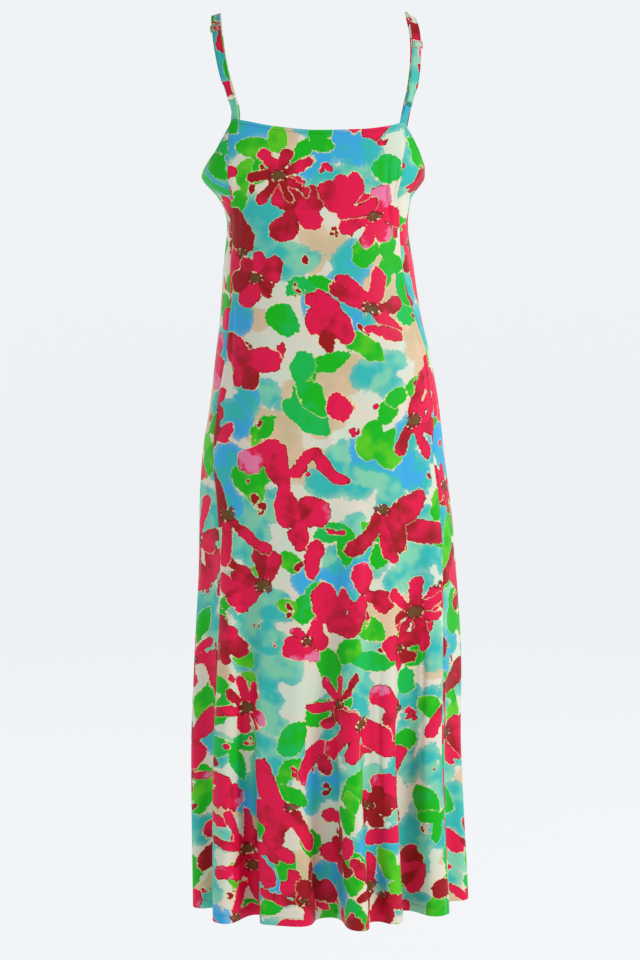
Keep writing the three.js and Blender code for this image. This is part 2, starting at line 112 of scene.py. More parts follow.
# Crests and troughs of the skirt's folds: degrees round at the hem, how far each stands out from
# the section at the hem, and how far down it begins.
FOLDS = table(
    "round out start",
    (-91, -0.003, 0.70), (-77, 0.007, 0.62), (-61, -0.024, 0.64), (-43.5, 0.037, 0.64),
    (-33.5, -0.025, 0.70), (-25, 0.018, 0.76), (-12, 0.020, 0.74), (2, -0.028, 0.64),
    (14, 0.042, 0.64), (21.5, 0, 0.80), (30, 0.020, 0.82), (41, -0.038, 0.56),
    (57, 0.016, 0.62), (78, -0.020, 0.70), (104, 0.026, 0.76), (119, -0.020, 0.70),
    (132, 0.026, 0.64), (146, -0.026, 0.70), (158, 0.030, 0.62), (171, -0.018, 0.76),
    (184, 0.024, 0.70), (198, -0.030, 0.62), (212, 0.034, 0.64), (224, -0.016, 0.76),
    (236, 0.022, 0.70), (250, -0.024, 0.64), (262, 0.006, 0.76),
)
FOLD_GROWTH = 1.3
FOLD_ROUNDING = 0.12
STEEP_FLANK = 0.040

# Soft creases laid on that form: the column and drop that each starts and ends at, how wide it is
# across and how deep, with troughs below zero. The back's come first, then the front's.
CREASES = table(
    "column drop end_column end_drop width depth",
    (-46, 0.200, -40, 0.330, 0.010, -0.0016), (48, 0.185, 52, 0.345, 0.009, -0.0026),
    (57, 0.200, 58, 0.300, 0.007, -0.0016), (-30, 0.300, 12, 0.322, 0.014, -0.0011),
    (30, 0.330, -6, 0.345, 0.013, -0.0010), (-48, 0.380, -43, 0.610, 0.010, -0.0020),
    (55, 0.360, 56, 0.600, 0.009, -0.0024), (37, 0.440, 39, 0.700, 0.012, -0.0018),
    (-21, 0.520, -23, 0.760, 0.013, -0.0015), (7, 0.480, 9, 0.720, 0.012, 0.0015),
    (-38, 0.760, -37, 1.040, 0.010, -0.0024), (26, 0.860, 26.5, 1.230, 0.008, -0.0024),
    (-6, 0.900, -5, 1.260, 0.009, -0.0022), (50, 0.800, 51, 1.160, 0.008, -0.0024),
    (84, 0.240, 96, 0.330, 0.010, -0.0020), (286, 0.240, 272, 0.335, 0.010, -0.0020),
    (140, 0.215, 150, 0.290, 0.012, -0.0014), (228, 0.215, 220, 0.292, 0.012, -0.0014),
    (120, 0.300, 170, 0.325, 0.014, -0.0010), (250, 0.305, 205, 0.330, 0.013, -0.0010),
    (100, 0.420, 104, 0.660, 0.011, -0.0018), (265, 0.420, 262, 0.640, 0.011, -0.0018),
    (150, 0.520, 152, 0.760, 0.013, -0.0015), (190, 0.500, 188, 0.720, 0.013, 0.0014),
    (222, 0.540, 224, 0.780, 0.012, -0.0016), (125, 0.840, 126, 1.160, 0.009, -0.0022),
    (178, 0.900, 177, 1.240, 0.009, -0.0022), (240, 0.860, 239, 1.200, 0.009, -0.0022),
)

# A strap's middle line over the shoulder, from the chest to the back neckline: its depth, drop and
# place across on each side, which way its outer face looks in degrees round, and how far upward.
STRAP_LINE = table(
    "depth drop left right turn left_rise right_rise",
    (0.0655, 0.138, -0.124, 0.126, 148, 4, 4),
    (0.063, 0.100, -0.134, 0.1345, 152, 12, 12),
    (0.054, 0.060, -0.144, 0.1385, 153, 24, 24),
    (0.040, 0.026, -0.148, 0.137, 148, 42, 40),
    (0.022, 0.005, -0.149, 0.131, 130, 62, 52),
    (0, -0.001, -0.1495, 0.1285, 90, 74, 54),
    (-0.020, 0.005, -0.1495, 0.132, 52, 62, 50),
    (-0.036, 0.023, -0.1478, 0.136, 30, 38, 36),
    (-0.050, 0.050, -0.144, 0.1375, 25, 20, 20),
    (-0.060, 0.084, -0.137, 0.1355, 25, 8, 8),
    (-0.064, 0.112, -0.129, 0.131, 25, 3, 3),
    (-0.065, 0.138, -0.1215, 0.1235, 25, 1, 1),
)

# What differs between the two straps: how far down the ring and the slider hang, where round the
# chest the tab and the strap are sewn in, and where on the bolt each is cut.
SIDES = {
    "left": {
        "outward": -1, "ring_drop": 0.120, "slider_drop": 0.021, "tab": -46, "strap": -132,
        "tab_bolt": (2.445, 1.356), "strap_bolt": (2.715, 0.554),
    },
    "right": {
        "outward": 1, "ring_drop": 0.130, "slider_drop": 0.045, "tab": 48, "strap": 132,
        "tab_bolt": (2.694, 0.827), "strap_bolt": (1.808, 0.785),
    },
}

# Sizes shared with the solids.
HEM_DROP = SECTIONS["drop"][-1]
BODICE_DROP = 0.262
CAD_WALL = 1.5 * MM
SEAM_GAP = 0.3 * MM
LEFT_SEAM = SEAMS["left"][-1]
RIGHT_SEAM = SEAMS["right"][-1]

# The two panels: the columns that each runs between, where on the bolt its middle is cut and the
# share of its flat rectangle that the cloth fills. The solids part each panel into four stretches.
PANELS = {
    "back": {"columns": (LEFT_SEAM, RIGHT_SEAM), "bolt": 0.35, "share": 0.5875},
    "front": {"columns": (RIGHT_SEAM, LEFT_SEAM + FULL_TURN), "bolt": 1.5, "share": 0.600},
}
STRETCHES = ("bodice", "hip", "skirt", "hem")

STRAP_WIDTH = 14 * MM
STRAP_THICK = 1.2 * MM
TAB_BASE_WIDTH = 13 * MM
LAYER_STEP = 1.8 * MM
SEWN_LENGTH = 9 * MM
SEWN_CLEARANCE = 1.6 * MM
CLEARANCE = 0.3 * MM
RING_WIRE = 1.4 * MM
RING_RADIUS = 5.9 * MM
RING_STEPS = 64
RING_SIDES = 14
LOOP_WIDTH = 9 * MM
LOOP_RADIUS = RING_WIRE / 2 + 2 * CLEARANCE + STRAP_THICK / 2
LOOP_STEM = 6 * MM
NARROWING = 16 * MM
SLIDER_WIDTH = 17.6 * MM
SLIDER_HEIGHT = 12.5 * MM
SLIDER_BAR = 1.5 * MM
SLIDER_THICK = 1.0 * MM
SLIDER_OUT = 1.4 * MM
SLIDER_CORNER = 1.2 * MM
SLOT_CORNER = 0.4 * MM
SLIDER_ROUNDING = 0.22 * MM


def linear(red, green, blue):
    """A display colour, given in 0 to 255, as the linear values that a shader works in."""
    levels = (channel / 255 for channel in (red, green, blue))
    return tuple(x / 12.92 if x <= 0.04045 else ((x + 0.055) / 1.055) ** 2.4 for x in levels)


def colour_property(name, description, *display):
    return bpy.props.FloatVectorProperty(
        name=name, description=description, default=linear(*display), size=3,
        min=0, max=1, subtype="COLOR",
    )


def length_property(name, description, default):
    return bpy.props.FloatProperty(
        name=name, description=description, default=default, min=0,
        unit="LENGTH", subtype="DISTANCE", precision=4,
    )


class ClothSizes(bpy.types.PropertyGroup):
    wall: length_property("Cloth", "Thickness of the jersey", 0.8 * MM)
    turned: length_property("Turned edge", "Thickness where the hem or an edge is turned in", 1.5 * MM)
    back_spacing: length_property("Back spacing", "Distance between the back's mesh points", 3.2 * MM)
    front_spacing: length_property("Front spacing", "Distance between the front's mesh points", 4.15 * MM)
    hem: length_property("Hem", "Depth of the turned hem", 20 * MM)
    band: length_property("Edge band", "Depth of the turned neckline and armholes", 7 * MM)
    seam_roll: length_property("Seam roll", "How far the cloth rolls in along a seam", 1.0 * MM)
    back_width: length_property("Back width", "Flat width of the back panel at the hem", 0.646)
    back_length: length_property("Back length", "Flat length of the back panel", 1.17)
    front_width: length_property("Front width", "Flat width of the front panel at the hem", 1.078)
    front_length: length_property("Front length", "Flat length of the front panel", 1.17)


class PrintColours(bpy.types.PropertyGroup):
    cream: colour_property("Cream", "Ground of the print", 226, 216, 198)
    pale_mint: colour_property("Pale mint", "Cooler drift of the ground", 210, 222, 202)
    halo: colour_property("Outline", "Thin line round the shapes", 232, 224, 164)
    sand: colour_property("Sand", "Darker tan wash", 206, 186, 146)
    peach: colour_property("Peach", "Tan wash", 222, 190, 156)
    aqua: colour_property("Aqua", "Aqua wash", 48, 184, 178)
    sky: colour_property("Sky", "Blue wash", 56, 168, 222)
    mint: colour_property("Mint", "Pale green wash", 126, 206, 172)
    emerald: colour_property("Emerald", "Bluer green of the leaves", 12, 186, 78)
    leaf: colour_property("Leaf", "Green of the leaves", 8, 182, 16)
    lime: colour_property("Lime", "Yellower green of the leaves", 88, 200, 26)
    pink: colour_property("Pink", "Petals", 228, 6, 72)
    crimson: colour_property("Crimson", "Shaded petals", 156, 4, 16)
    rose: colour_property("Rose", "Pale petals", 232, 118, 160)
    olive: colour_property("Olive", "Greener middles of the flowers", 92, 74, 26)
    heart: colour_property("Heart", "Redder middles of the flowers", 120, 4, 16)


class TrimSizes(bpy.types.PropertyGroup):
    stitch_length: length_property("Stitch", "Length of a stitch", 2.6 * MM)
    stitch_pitch: length_property("Stitch pitch", "From one stitch to the next", 3.3 * MM)
    thread: length_property("Thread", "Thickness of the thread", 0.45 * MM)
    thread_colour: colour_property("Thread colour", "Sewing thread", 66, 56, 48)
    metal_colour: colour_property("Metal", "Rings and sliders", 222, 192, 180)


class StudioSizes(bpy.types.PropertyGroup):
    distance: length_property("Camera distance", "From the camera to the straps", 3.4)
    below: length_property("Camera drop", "How far the camera stands below the shoulders", 0.30)
    tilt: bpy.props.FloatProperty(
        name="Tilt", description="How far the camera looks down",
        default=6.264 * DEGREE, subtype="ANGLE",
    )
    focal: bpy.props.FloatProperty(
        name="Focal length", description="Lens for a 36 mm picture height", default=87.13, min=10,
    )
    floor: length_property("Floor", "How far the floor lies below the shoulders", 1.75)
    backdrop: colour_property("Backdrop", "Pale floor and backdrop", 243, 245, 247)
    glow: bpy.props.FloatProperty(
        name="Glow", description="How brightly the backdrop shines", default=0.76, min=0,
    )
    front_glow: bpy.props.FloatProperty(
        name="Front glow", description="The share of it on the camera's side", default=0.6, min=0,
    )
    sky: bpy.props.FloatProperty(
        name="Sky", description="Light from above the backdrop", default=0.35, min=0,
    )


# The lamps: where each stands, how wide it is in metres and its power in watts.
LAMPS = {
    "key": {"place": (2.9, -1.9, 0.8), "size": 1.0, "power": 66},
    "fill": {"place": (-2.4, -2.8, 0.1), "size": 2.4, "power": 5},
    "back_left": {"place": (-2.2, 2.6, 0.8), "size": 2.2, "power": 16},
    "back_right": {"place": (2.2, 2.6, 0.8), "size": 2.2, "power": 16},
}
# What the lamps point at, the height of the camera's sensor in millimetres, the share of light that
# the paper throws back, and the bowl that the floor and backdrop make, in metres.
LIT_POINT = (0, 0, -0.62)
SENSOR = 36
PAPER_ALBEDO = 0.3
BOWL_RADIUS = 6.6
BOWL_CURVE = 2.0
BOWL_WALL = 3.6
BOWL_MIDDLE = 0.001
BOWL_STEPS = 12
BOWL_SIDES = 96


def smooth(rows, key, column, place):
    """The smooth curve through a table's column, which never swings past its rows."""
    at = rows[key]
    level = rows[column]
    rise = np.diff(level) / np.diff(at)
    before = np.append(rise[0], rise)
    after = np.append(rise, rise[-1])
    same = before * after > 0
    slope = np.where(same, 2 * before * after / np.where(same, before + after, 1), 0)
    x = np.clip(place, at[0], at[-1])
    i = np.clip(np.searchsorted(at, x) - 1, 0, len(at) - 2)
    span = at[i + 1] - at[i]
    t = (x - at[i]) / span
    u = 1 - t
    start = u * u * ((1 + 2 * t) * level[i] + t * span * slope[i])
    end = t * t * ((3 - 2 * t) * level[i + 1] - u * span * slope[i + 1])
    return start + end


def remap(value, low, high, new_low, new_high):
    return new_low + (value - low) * (new_high - new_low) / (high - low)


def smoothstep(value, low, high):
    t = np.clip((value - low) / (high - low), 0, 1)
    return t * t * (3 - 2 * t)


def unit(vectors):
    return vectors / np.linalg.norm(vectors, axis=-1, keepdims=True)


def round_at(column, drop):
    """Where a column of cloth, known by its place at the hem, has got to at a height."""
    left = smooth(SEAMS, "drop", "left", drop)
    right = smooth(SEAMS, "drop", "right", drop)
    back = remap(column, LEFT_SEAM, RIGHT_SEAM, left, right)
    front = remap(column, RIGHT_SEAM, LEFT_SEAM + FULL_TURN, right, left + FULL_TURN)
    return np.where(column <= RIGHT_SEAM, back, front)


def column_at(chest_round):
    """The column that passes an angle at the chest."""
    left, right = SEAMS["left"][0], SEAMS["right"][0]
    back = remap(chest_round, left, right, LEFT_SEAM, RIGHT_SEAM)
    turn = np.mod(chest_round, FULL_TURN)
    front = remap(turn, right, left + FULL_TURN, RIGHT_SEAM, LEFT_SEAM + FULL_TURN)
    return np.where(np.abs(chest_round) <= right, back, front)


def top_drop(chest_round):
    wrapped = np.mod(chest_round + FULL_TURN / 2, FULL_TURN) - FULL_TURN / 2
    return smooth(TOP_EDGE, "round", "drop", wrapped)


def section_point(turn, drop):
    """The level section, before any fold."""
    angle = turn * DEGREE
    left, right, back, front, square = (
        smooth(SECTIONS, "drop", key, drop) for key in ("left", "right", "back", "front", "square")
    )
    depth = np.where(np.cos(angle) > 0, back, front)
    across = (np.sin(angle) + square * np.sin(3 * angle)) / (1 - square)
    out = (np.cos(angle) - square * np.cos(3 * angle)) / (1 - square)
    x = (left + right) / 2 + (right - left) / 2 * across
    return np.stack([x, -depth * out, -drop * np.ones_like(x)], axis=-1)


def growth(start, drop):
    return np.maximum((drop - start) / (HEM_DROP - start), 0) ** FOLD_GROWTH


def fold_at(column, drop):
    """How far a column stands out on the skirt's folds, and how far it is drawn sideways."""
    places, outs, starts = FOLDS["round"], FOLDS["out"], FOLDS["start"]
    turn = places[0] + np.mod(column - places[0], FULL_TURN)
    i = np.searchsorted(places, turn, side="right") - 1
    following = (i + 1) % len(places)
    span = np.mod(places[following] - places[i], FULL_TURN)
    phase = math.pi * (turn - places[i]) / span
    here = outs[i] * growth(starts[i], drop)
    there = outs[following] * growth(starts[following], drop)
    steepness = np.minimum(np.abs(here - there) / STEEP_FLANK, 1)
    out = (here + there) / 2 + (here - there) / 2 * np.cos(phase)
    return out, FOLD_ROUNDING * span * steepness * np.sin(2 * phase)


def cloth_point(column, drop):
    """A point on the outer face of the plain form."""
    out, aside = fold_at(column, drop)
    turn = round_at(column, drop) + aside
    point = section_point(turn, drop)
    along = unit(section_point(turn + 1, drop) - section_point(turn - 1, drop))
    point[..., 0] += along[..., 1] * out
    point[..., 1] -= along[..., 0] * out
    return point


def cloth_facing(column, drop):
    turn_step = 0.4
    drop_step = 0.4 * MM
    along = cloth_point(column + turn_step, drop) - cloth_point(column - turn_step, drop)
    down = cloth_point(column, drop + drop_step) - cloth_point(column, drop - drop_step)
    return unit(np.cross(down, along))


def creased(column, drop, metres_per_degree):
    """How far the creases move the cloth out."""
    out = np.zeros_like(drop)
    for first, start, last, end, width, depth in zip(*CREASES.values()):
        run = np.array([(last - first) * metres_per_degree, end - start])
        length = np.hypot(*run)
        run /= length
        x = (column - first) * metres_per_degree
        y = drop - start
        along = (x * run[0] + y * run[1]) / length
        across = x * run[1] - y * run[0]
        fade = np.sin(math.pi * np.clip(along, 0, 1)) ** 2
        out += depth * fade * np.exp(-((across / width) ** 2))
    return out


class Strand:
    """The line that a strap and its tab follow, with which way it runs and faces."""

    SAMPLES = 120

    def __init__(self, name):
        side = SIDES[name]
        rise = STRAP_LINE[f"{name}_rise"] * DEGREE
        turn = STRAP_LINE["turn"] * DEGREE
        over = np.stack([STRAP_LINE[name], STRAP_LINE["depth"], -STRAP_LINE["drop"]], axis=1)
        looks = np.stack([
            side["outward"] * np.sin(turn) * np.cos(rise), -np.cos(turn) * np.cos(rise), np.sin(rise),
        ], axis=1)
        sewn = [self.sewn(side["strap"], SEWN_LENGTH), self.sewn(side["strap"], 0)]
        ends = [self.sewn(side["tab"], 0), self.sewn(side["tab"], SEWN_LENGTH)]
        stations = np.array([p for p, _ in sewn] + list(over) + [p for p, _ in ends])
        facings = np.array([f for _, f in sewn] + list(looks) + [f for _, f in ends])
        self.points, place = self.curve(stations)
        step = np.linalg.norm(np.diff(self.points, axis=0), axis=1)
        self.reached = np.append(0, np.cumsum(step))
        self.length = self.reached[-1]
        self.runs = unit(np.gradient(self.points, axis=0))
        whole = np.arange(len(stations))
        looking = np.stack([np.interp(place, whole, facings[:, k]) for k in range(3)], axis=1)
        self.breadths = unit(np.cross(looking, self.runs))
        self.facings = np.cross(self.runs, self.breadths)

    @staticmethod
    def sewn(chest_round, below):
        column = column_at(np.array(float(chest_round)))
        drop = top_drop(np.array(float(chest_round))) + below
        facing = cloth_facing(column, drop)
        depth = CAD_WALL + SEWN_CLEARANCE + STRAP_THICK / 2
        return cloth_point(column, drop) - facing * depth, facing

    @classmethod
    def curve(cls, stations):
        """A centripetal spline through the stations, and each point's place among them."""
        ends = [2 * stations[0] - stations[1], *stations, 2 * stations[-1] - stations[-2]]
        points = []
        share = np.arange(cls.SAMPLES)[:, None] / cls.SAMPLES
        for a, b, c, d in zip(ends, ends[1:], ends[2:], ends[3:]):
            gaps = [max(np.linalg.norm(q - p), 1e-6) ** 0.5 for p, q in ((a, b), (b, c), (c, d))]
            into = (b - a) / gaps[0] - (c - a) / (gaps[0] + gaps[1]) + (c - b) / gaps[1]
            away = (c - b) / gaps[1] - (d - b) / (gaps[1] + gaps[2]) + (d - c) / gaps[2]
            into, away = into * gaps[1], away * gaps[1]
            squared = 3 * (c - b) - 2 * into - away
            cubed = 2 * (b - c) + into + away
            points.append(b + share * (into + share * (squared + share * cubed)))
        place = np.arange((len(stations) - 1) * cls.SAMPLES) / cls.SAMPLES
        return np.vstack([*points, stations[-1:]]), np.append(place, len(stations) - 1)

    def at(self, along):
        """Point, run, breadth and facing at lengths along the line."""
        return [
            np.stack([np.interp(along, self.reached, values[:, k]) for k in range(3)], axis=-1)
            for values in (self.points, self.runs, self.breadths, self.facings)
        ]

    def along_at_drop(self, drop):
        below = np.nonzero(-self.points[:, 2] <= drop)[0]
        return self.reached[below[-1]]


# The print, as a maker repeats it: motifs are set out on a loose triangular grid, and each is a few
# brush strokes whose outlines reach the shader as distances. A motif's strokes run together on one
# of two layers, so that a line of ground can part it from its neighbours.
PRINT_SEED = 23
SITE_SPACING = 0.055
BUD_SPACING = 0.050
SITE_JITTER = 0.34
BOLT_WIDTH = 2.8
BOLT_LENGTH = 1.6
MOTIF_SHARES = {"flower": 0.32, "leaf": 0.31, "wash": 0.37}
STROKE_TURN = 13
STROKE_BEND = 6
NEAR_SITES = 1.8
MOTIF_REACH = 0.1
FAR = 0.2

# A motif's strokes: how many, the angle they fan over, how long each is, how wide at its base and
# near its tip, and how big the flower's middle is. One row is drawn for each motif.
FLOWER_FORMS = table(
    "strokes spread length base tip heart",
    (6, 360, 0.038, 0.016, 0.026, 0.020),
    (5, 250, 0.036, 0.018, 0.032, 0),
    (5, 190, 0.060, 0.016, 0.022, 0.022),
    (3, 80, 0.070, 0.022, 0.032, 0.018),
    (2, 50, 0.072, 0.020, 0.028, 0),
    (4, 120, 0.056, 0.024, 0.034, 0),
    (7, 300, 0.050, 0.014, 0.018, 0.024),
    (1, 0, 0.060, 0.030, 0.024, 0),
    (3, 210, 0.044, 0.018, 0.030, 0),
)
LEAF_FORMS = table(
    "strokes spread length width",
    (1, 0, 0.068, 0.032),
    (2, 80, 0.056, 0.028),
    (3, 150, 0.048, 0.028),
    (1, 0, 0.052, 0.040),
    (2, 130, 0.048, 0.034),
)
BUD_FORMS = table(
    "strokes spread length base tip",
    (1, 0, 0.012, 0.004, 0.009),
    (2, 60, 0.013, 0.004, 0.008),
    (1, 0, 0.020, 0.003, 0.006),
    (3, 120, 0.014, 0.003, 0.007),
)
WASH_KINDS = ("aqua", "sky", "aqua", "mint", "peach", "aqua", "sky", "mint", "peach")
WASH_FORM = {
    "strokes": 3, "spread": 250, "lengths": (0.050, 0.075), "shift": 0.018, "base": 0.038, "tip": 0.046,
}


def drawn_form(forms, own):
    """One row of a table of forms, drawn at random."""
    row = own.integers(0, len(forms["strokes"]))
    return {key: column[row] for key, column in forms.items()}


def stroke(x, y, length, base, tip):
    """The signed distance to a brush stroke that runs along x and widens from base to tip."""
    low, high = base / 2, tip / 2
    run = max(length - low - high, high)
    lean = (low - high) / run
    level = math.sqrt(1 - lean * lean)
    along, across = x - low, np.abs(y)
    place = level * along - lean * across
    side = level * across + lean * along - low
    tipped = np.where(place > run * level, np.hypot(across, along - run) - high, side)
    return np.where(place < 0, np.hypot(across, along) - low, tipped)


def lens(x, y, length, width):
    """The signed distance to a leaf with two pointed ends that starts at the origin."""
    half, bulge = length / 2, width / 2
    shift = (half * half - bulge * bulge) / (2 * bulge)
    along, across = np.abs(x - half), np.abs(y)
    past = (along - half) * shift > across * half
    flank = np.hypot(across + shift, along) - shift - bulge
    return np.where(past, np.hypot(across, along - half), flank)


def motif_sites(rng, spacing):
    """The loose grid's sites, each with the kind of motif that is rarest round it."""
    rise = spacing * math.sqrt(3) / 2
    sites = []
    for row in range(int(BOLT_LENGTH / rise)):
        for column in range(int(BOLT_WIDTH / spacing)):
            place = np.array([(column + row % 2 / 2) * spacing, row * rise])
            sites.append(place + rng.uniform(-SITE_JITTER, SITE_JITTER, 2) * spacing)
    sites = np.array(sites)
    names = list(MOTIF_SHARES)
    kinds = np.full(len(sites), -1)
    for i in rng.permutation(len(sites)):
        near = np.hypot(*(sites - sites[i]).T) < NEAR_SITES * spacing
        crowding = [
            (np.sum(kinds[near] == k) + rng.uniform(0, 0.8)) / MOTIF_SHARES[name]
            for k, name in enumerate(names)
        ]
        kinds[i] = int(np.argmin(crowding))
    return [(site, names[kind]) for site, kind in zip(sites, kinds)]


class Print:
    """The print at places on the bolt of cloth, as named attributes."""

    EDGES = (
        "petal_a", "petal_b", "leaf_a", "leaf_b", "bud", "heart", "aqua", "sky", "mint", "peach",
    )
    TONES = ("petal_a_tone", "petal_b_tone", "leaf_a_tone", "leaf_b_tone", "bud_tone")

    def __init__(self, u, v):
        self.u = u
        self.v = v
        self.fields = {name: np.full(u.shape, FAR) for name in self.EDGES}
        self.fields.update({name: np.zeros(u.shape) for name in self.TONES})
        self.fields["bolt"] = np.stack([u, v, 0 * u], axis=1)
        rng = np.random.default_rng(PRINT_SEED)
        for site, kind in motif_sites(rng, SITE_SPACING):
            self.draw(getattr(self, kind), site, rng.integers(0, 2**31))
        for site, kind in motif_sites(rng, BUD_SPACING):
            if kind == "wash":
                self.draw(self.bud, site, rng.integers(0, 2**31))

    def draw(self, make, site, seed):
        near = (np.abs(self.u - site[0]) < MOTIF_REACH) & (np.abs(self.v - site[1]) < MOTIF_REACH)
        if near.any():
            make(site, np.nonzero(near)[0], np.random.default_rng(seed))

    def lay(self, layer, near, distance, tone=None):
        """Paints a stroke where it is nearer than what its layer already holds."""
        better = distance < self.fields[layer][near]
        chosen = near[better]
        self.fields[layer][chosen] = distance[better]
        if tone is not None:
            self.fields[f"{layer}_tone"][chosen] = tone[better]

    def fan(self, site, near, form, turn, own):
        """The places near each stroke of a fan, along it from its base and across it."""
        count, spread = form["strokes"], form["spread"]
        closed = spread >= FULL_TURN
        gaps = count if closed else max(count - 1, 1)
        x, y = self.u[near] - site[0], self.v[near] - site[1]
        for k in range(int(count)):
            share = k / gaps - (0 if closed else 0.5)
            angle = (turn + share * spread + own.uniform(-STROKE_TURN, STROKE_TURN)) * DEGREE
            along = x * math.cos(angle) + y * math.sin(angle)
            across = y * math.cos(angle) - x * math.sin(angle)
            yield along, across - own.uniform(-STROKE_BEND, STROKE_BEND) * along * along

    def flower(self, site, near, own):
        form = drawn_form(FLOWER_FORMS, own)
        size = own.uniform(0.78, 1.16)
        turn = own.uniform(0, FULL_TURN)
        depth = own.uniform(-0.2, 0.75)
        layer = "petal_b" if own.uniform(0, 1) < 0.5 else "petal_a"
        for along, across in self.fan(site, near, form, turn, own):
            length = form["length"] * size * own.uniform(0.7, 1.25)
            width = size * own.uniform(0.75, 1.25)
            distance = stroke(along, across, length, form["base"] * width, form["tip"] * width)
            tone = depth + own.uniform(-0.15, 0.4) + own.uniform(-0.8, 0.4) * along / length
            self.lay(layer, near, distance, tone)
        heart = form["heart"] * size
        if heart > 0:
            x, y = self.u[near] - site[0], self.v[near] - site[1]
            self.lay("heart", near, stroke(x + heart / 2, y, heart, 0.8 * heart, 0.7 * heart))

    def leaf(self, site, near, own):
        form = drawn_form(LEAF_FORMS, own)
        size = own.uniform(0.8, 1.2)
        turn = own.uniform(0, FULL_TURN)
        shift = 0.4 * form["length"] * size if form["strokes"] == 1 else 0
        hue = own.uniform(0.1, 0.95)
        layer = "leaf_b" if own.uniform(0, 1) < 0.5 else "leaf_a"
        for along, across in self.fan(site, near, form, turn, own):
            length = form["length"] * size * own.uniform(0.8, 1.2)
            distance = lens(along + shift, across, length, form["width"] * size)
            tone = hue + own.uniform(-0.15, 0.15) + own.uniform(-0.6, 0.6) * along / length
            self.lay(layer, near, distance, tone)

    def bud(self, site, near, own):
        form = drawn_form(BUD_FORMS, own)
        size = own.uniform(0.8, 1.3)
        pale = own.uniform(0, 1) < 0.4
        turn = own.uniform(0, FULL_TURN)
        for along, across in self.fan(site, near, form, turn, own):
            length = form["length"] * size
            distance = stroke(along, across, length, form["base"] * size, form["tip"] * size)
            self.lay("bud", near, distance, np.full(len(near), 1.0 if pale else own.uniform(0, 0.3)))

    def wash(self, site, near, own):
        layer = WASH_KINDS[own.integers(0, len(WASH_KINDS))]
        size = own.uniform(0.86, 1.3)
        turn = own.uniform(0, FULL_TURN)
        base, tip = WASH_FORM["base"] * size, WASH_FORM["tip"] * size
        for along, across in self.fan(site, near, WASH_FORM, turn, own):
            length = own.uniform(*WASH_FORM["lengths"]) * size
            self.lay(layer, near, stroke(along + WASH_FORM["shift"], across, length, base, tip))


def add_object(name, data):
    """A new object in the scene, at the origin, unturned and unscaled."""
    item = bpy.data.objects.new(name, data)
    bpy.context.scene.collection.objects.link(item)
    return item


def made_mesh(maker, name):
    """The plain mesh that an object's curve or modifier makes. The object itself is removed."""
    ready = maker.evaluated_get(bpy.context.evaluated_depsgraph_get())
    mesh = bpy.data.meshes.new_from_object(ready)
    bpy.data.objects.remove(maker)
    mesh.name = name
    return mesh


def mesh_object(name, points, faces, attributes=None):
    """A mesh piece with smooth faces, sharp only round its rims."""
    mesh = bpy.data.meshes.new(name)
    mesh.from_pydata([tuple(point) for point in points], [], faces)
    for key, values in (attributes or {}).items():
        vector = values.ndim == 2
        layer = mesh.attributes.new(key, "FLOAT_VECTOR" if vector else "FLOAT", "POINT")
        layer.data.foreach_set("vector" if vector else "value", values.astype(np.float32).ravel())
    mesh.polygons.foreach_set("use_smooth", [True] * len(mesh.polygons))
    mesh.set_sharp_from_angle(angle=60 * DEGREE)
    mesh.update()
    mesh.validate()
    return add_object(name, mesh)


def shell_faces(rows, columns, stride):
    """The faces of a thin wall between a fine outer grid and an inner one that keeps only every
    stride-th row and column, closed round its edges."""
    outer = np.arange(rows * columns).reshape(rows, columns)
    kept = (len(range(0, rows, stride)), len(range(0, columns, stride)))
    inner = outer.size + np.arange(kept[0] * kept[1]).reshape(kept)

    def quads(grid):
        return np.stack([grid[:-1, :-1], grid[1:, :-1], grid[1:, 1:], grid[:-1, 1:]], axis=-1)

    def rim(grid):
        return np.concatenate([grid[0, :-1], grid[:-1, -1], grid[-1, :0:-1], grid[:0:-1, 0]])

    fine, coarse = rim(outer), rim(inner)
    edges = [
        [*fine[np.arange(i * stride, (i + 1) * stride + 1) % len(fine)].tolist(),
         int(coarse[(i + 1) % len(coarse)]), int(coarse[i])]
        for i in range(len(coarse))
    ]
    outside = quads(outer).reshape(-1, 4).tolist()
    inside = quads(inner)[..., ::-1].reshape(-1, 4).tolist()
    return outside + inside + edges


def shell_piece(name, outer, inner, fields, stride=1, reverse=1.0):
    """A thin shell from the points of its outer face and of its inner one, with its print."""
    rows, columns = outer.shape[:2]
    inner = inner[::stride, ::stride]
    both = {}
    for key, values in fields.items():
        grid = values.reshape(rows, columns, *values.shape[1:])
        coarse = grid[::stride, ::stride].reshape(-1, *values.shape[1:])
        both[key] = np.concatenate([values, coarse])
    both["reverse"] = np.repeat([0.0, reverse], [rows * columns, inner.shape[0] * inner.shape[1]])
    points = np.vstack([outer.reshape(-1, 3), inner.reshape(-1, 3)])
    return mesh_object(name, points, shell_faces(rows, columns, stride), both)


# How far in the rows of a turned edge lie, as shares of its depth, closest beside its stitches,
# where the stitches' shallow groove lies and how far it sinks. The thread lies on one of the rows.
BAND_ROWS = np.array([0, 0.10, 0.26, 0.44, 0.58, 0.68, 0.76, 0.86, 1.0, 1.25])
BAND_STITCHES = 0.72
BAND_SEWN_ROW = 0.68
HEM_ROWS = np.array([0, 0.10, 0.28, 0.44, 0.52, 0.60, 0.72, 0.80, 0.88, 1.0, 1.25])
HEM_STITCHES = 0.60
STITCH_GROOVE = 0.9 * MM
BAND_SINK = 0.4 * MM
HEM_SINK = 0.35 * MM
SEAM_GROOVE = 3 * MM
THREAD_PROUD = 0.15 * MM
INNER_STRIDE = 2
LEVELS = 60
SURVEY_POINTS = 2000


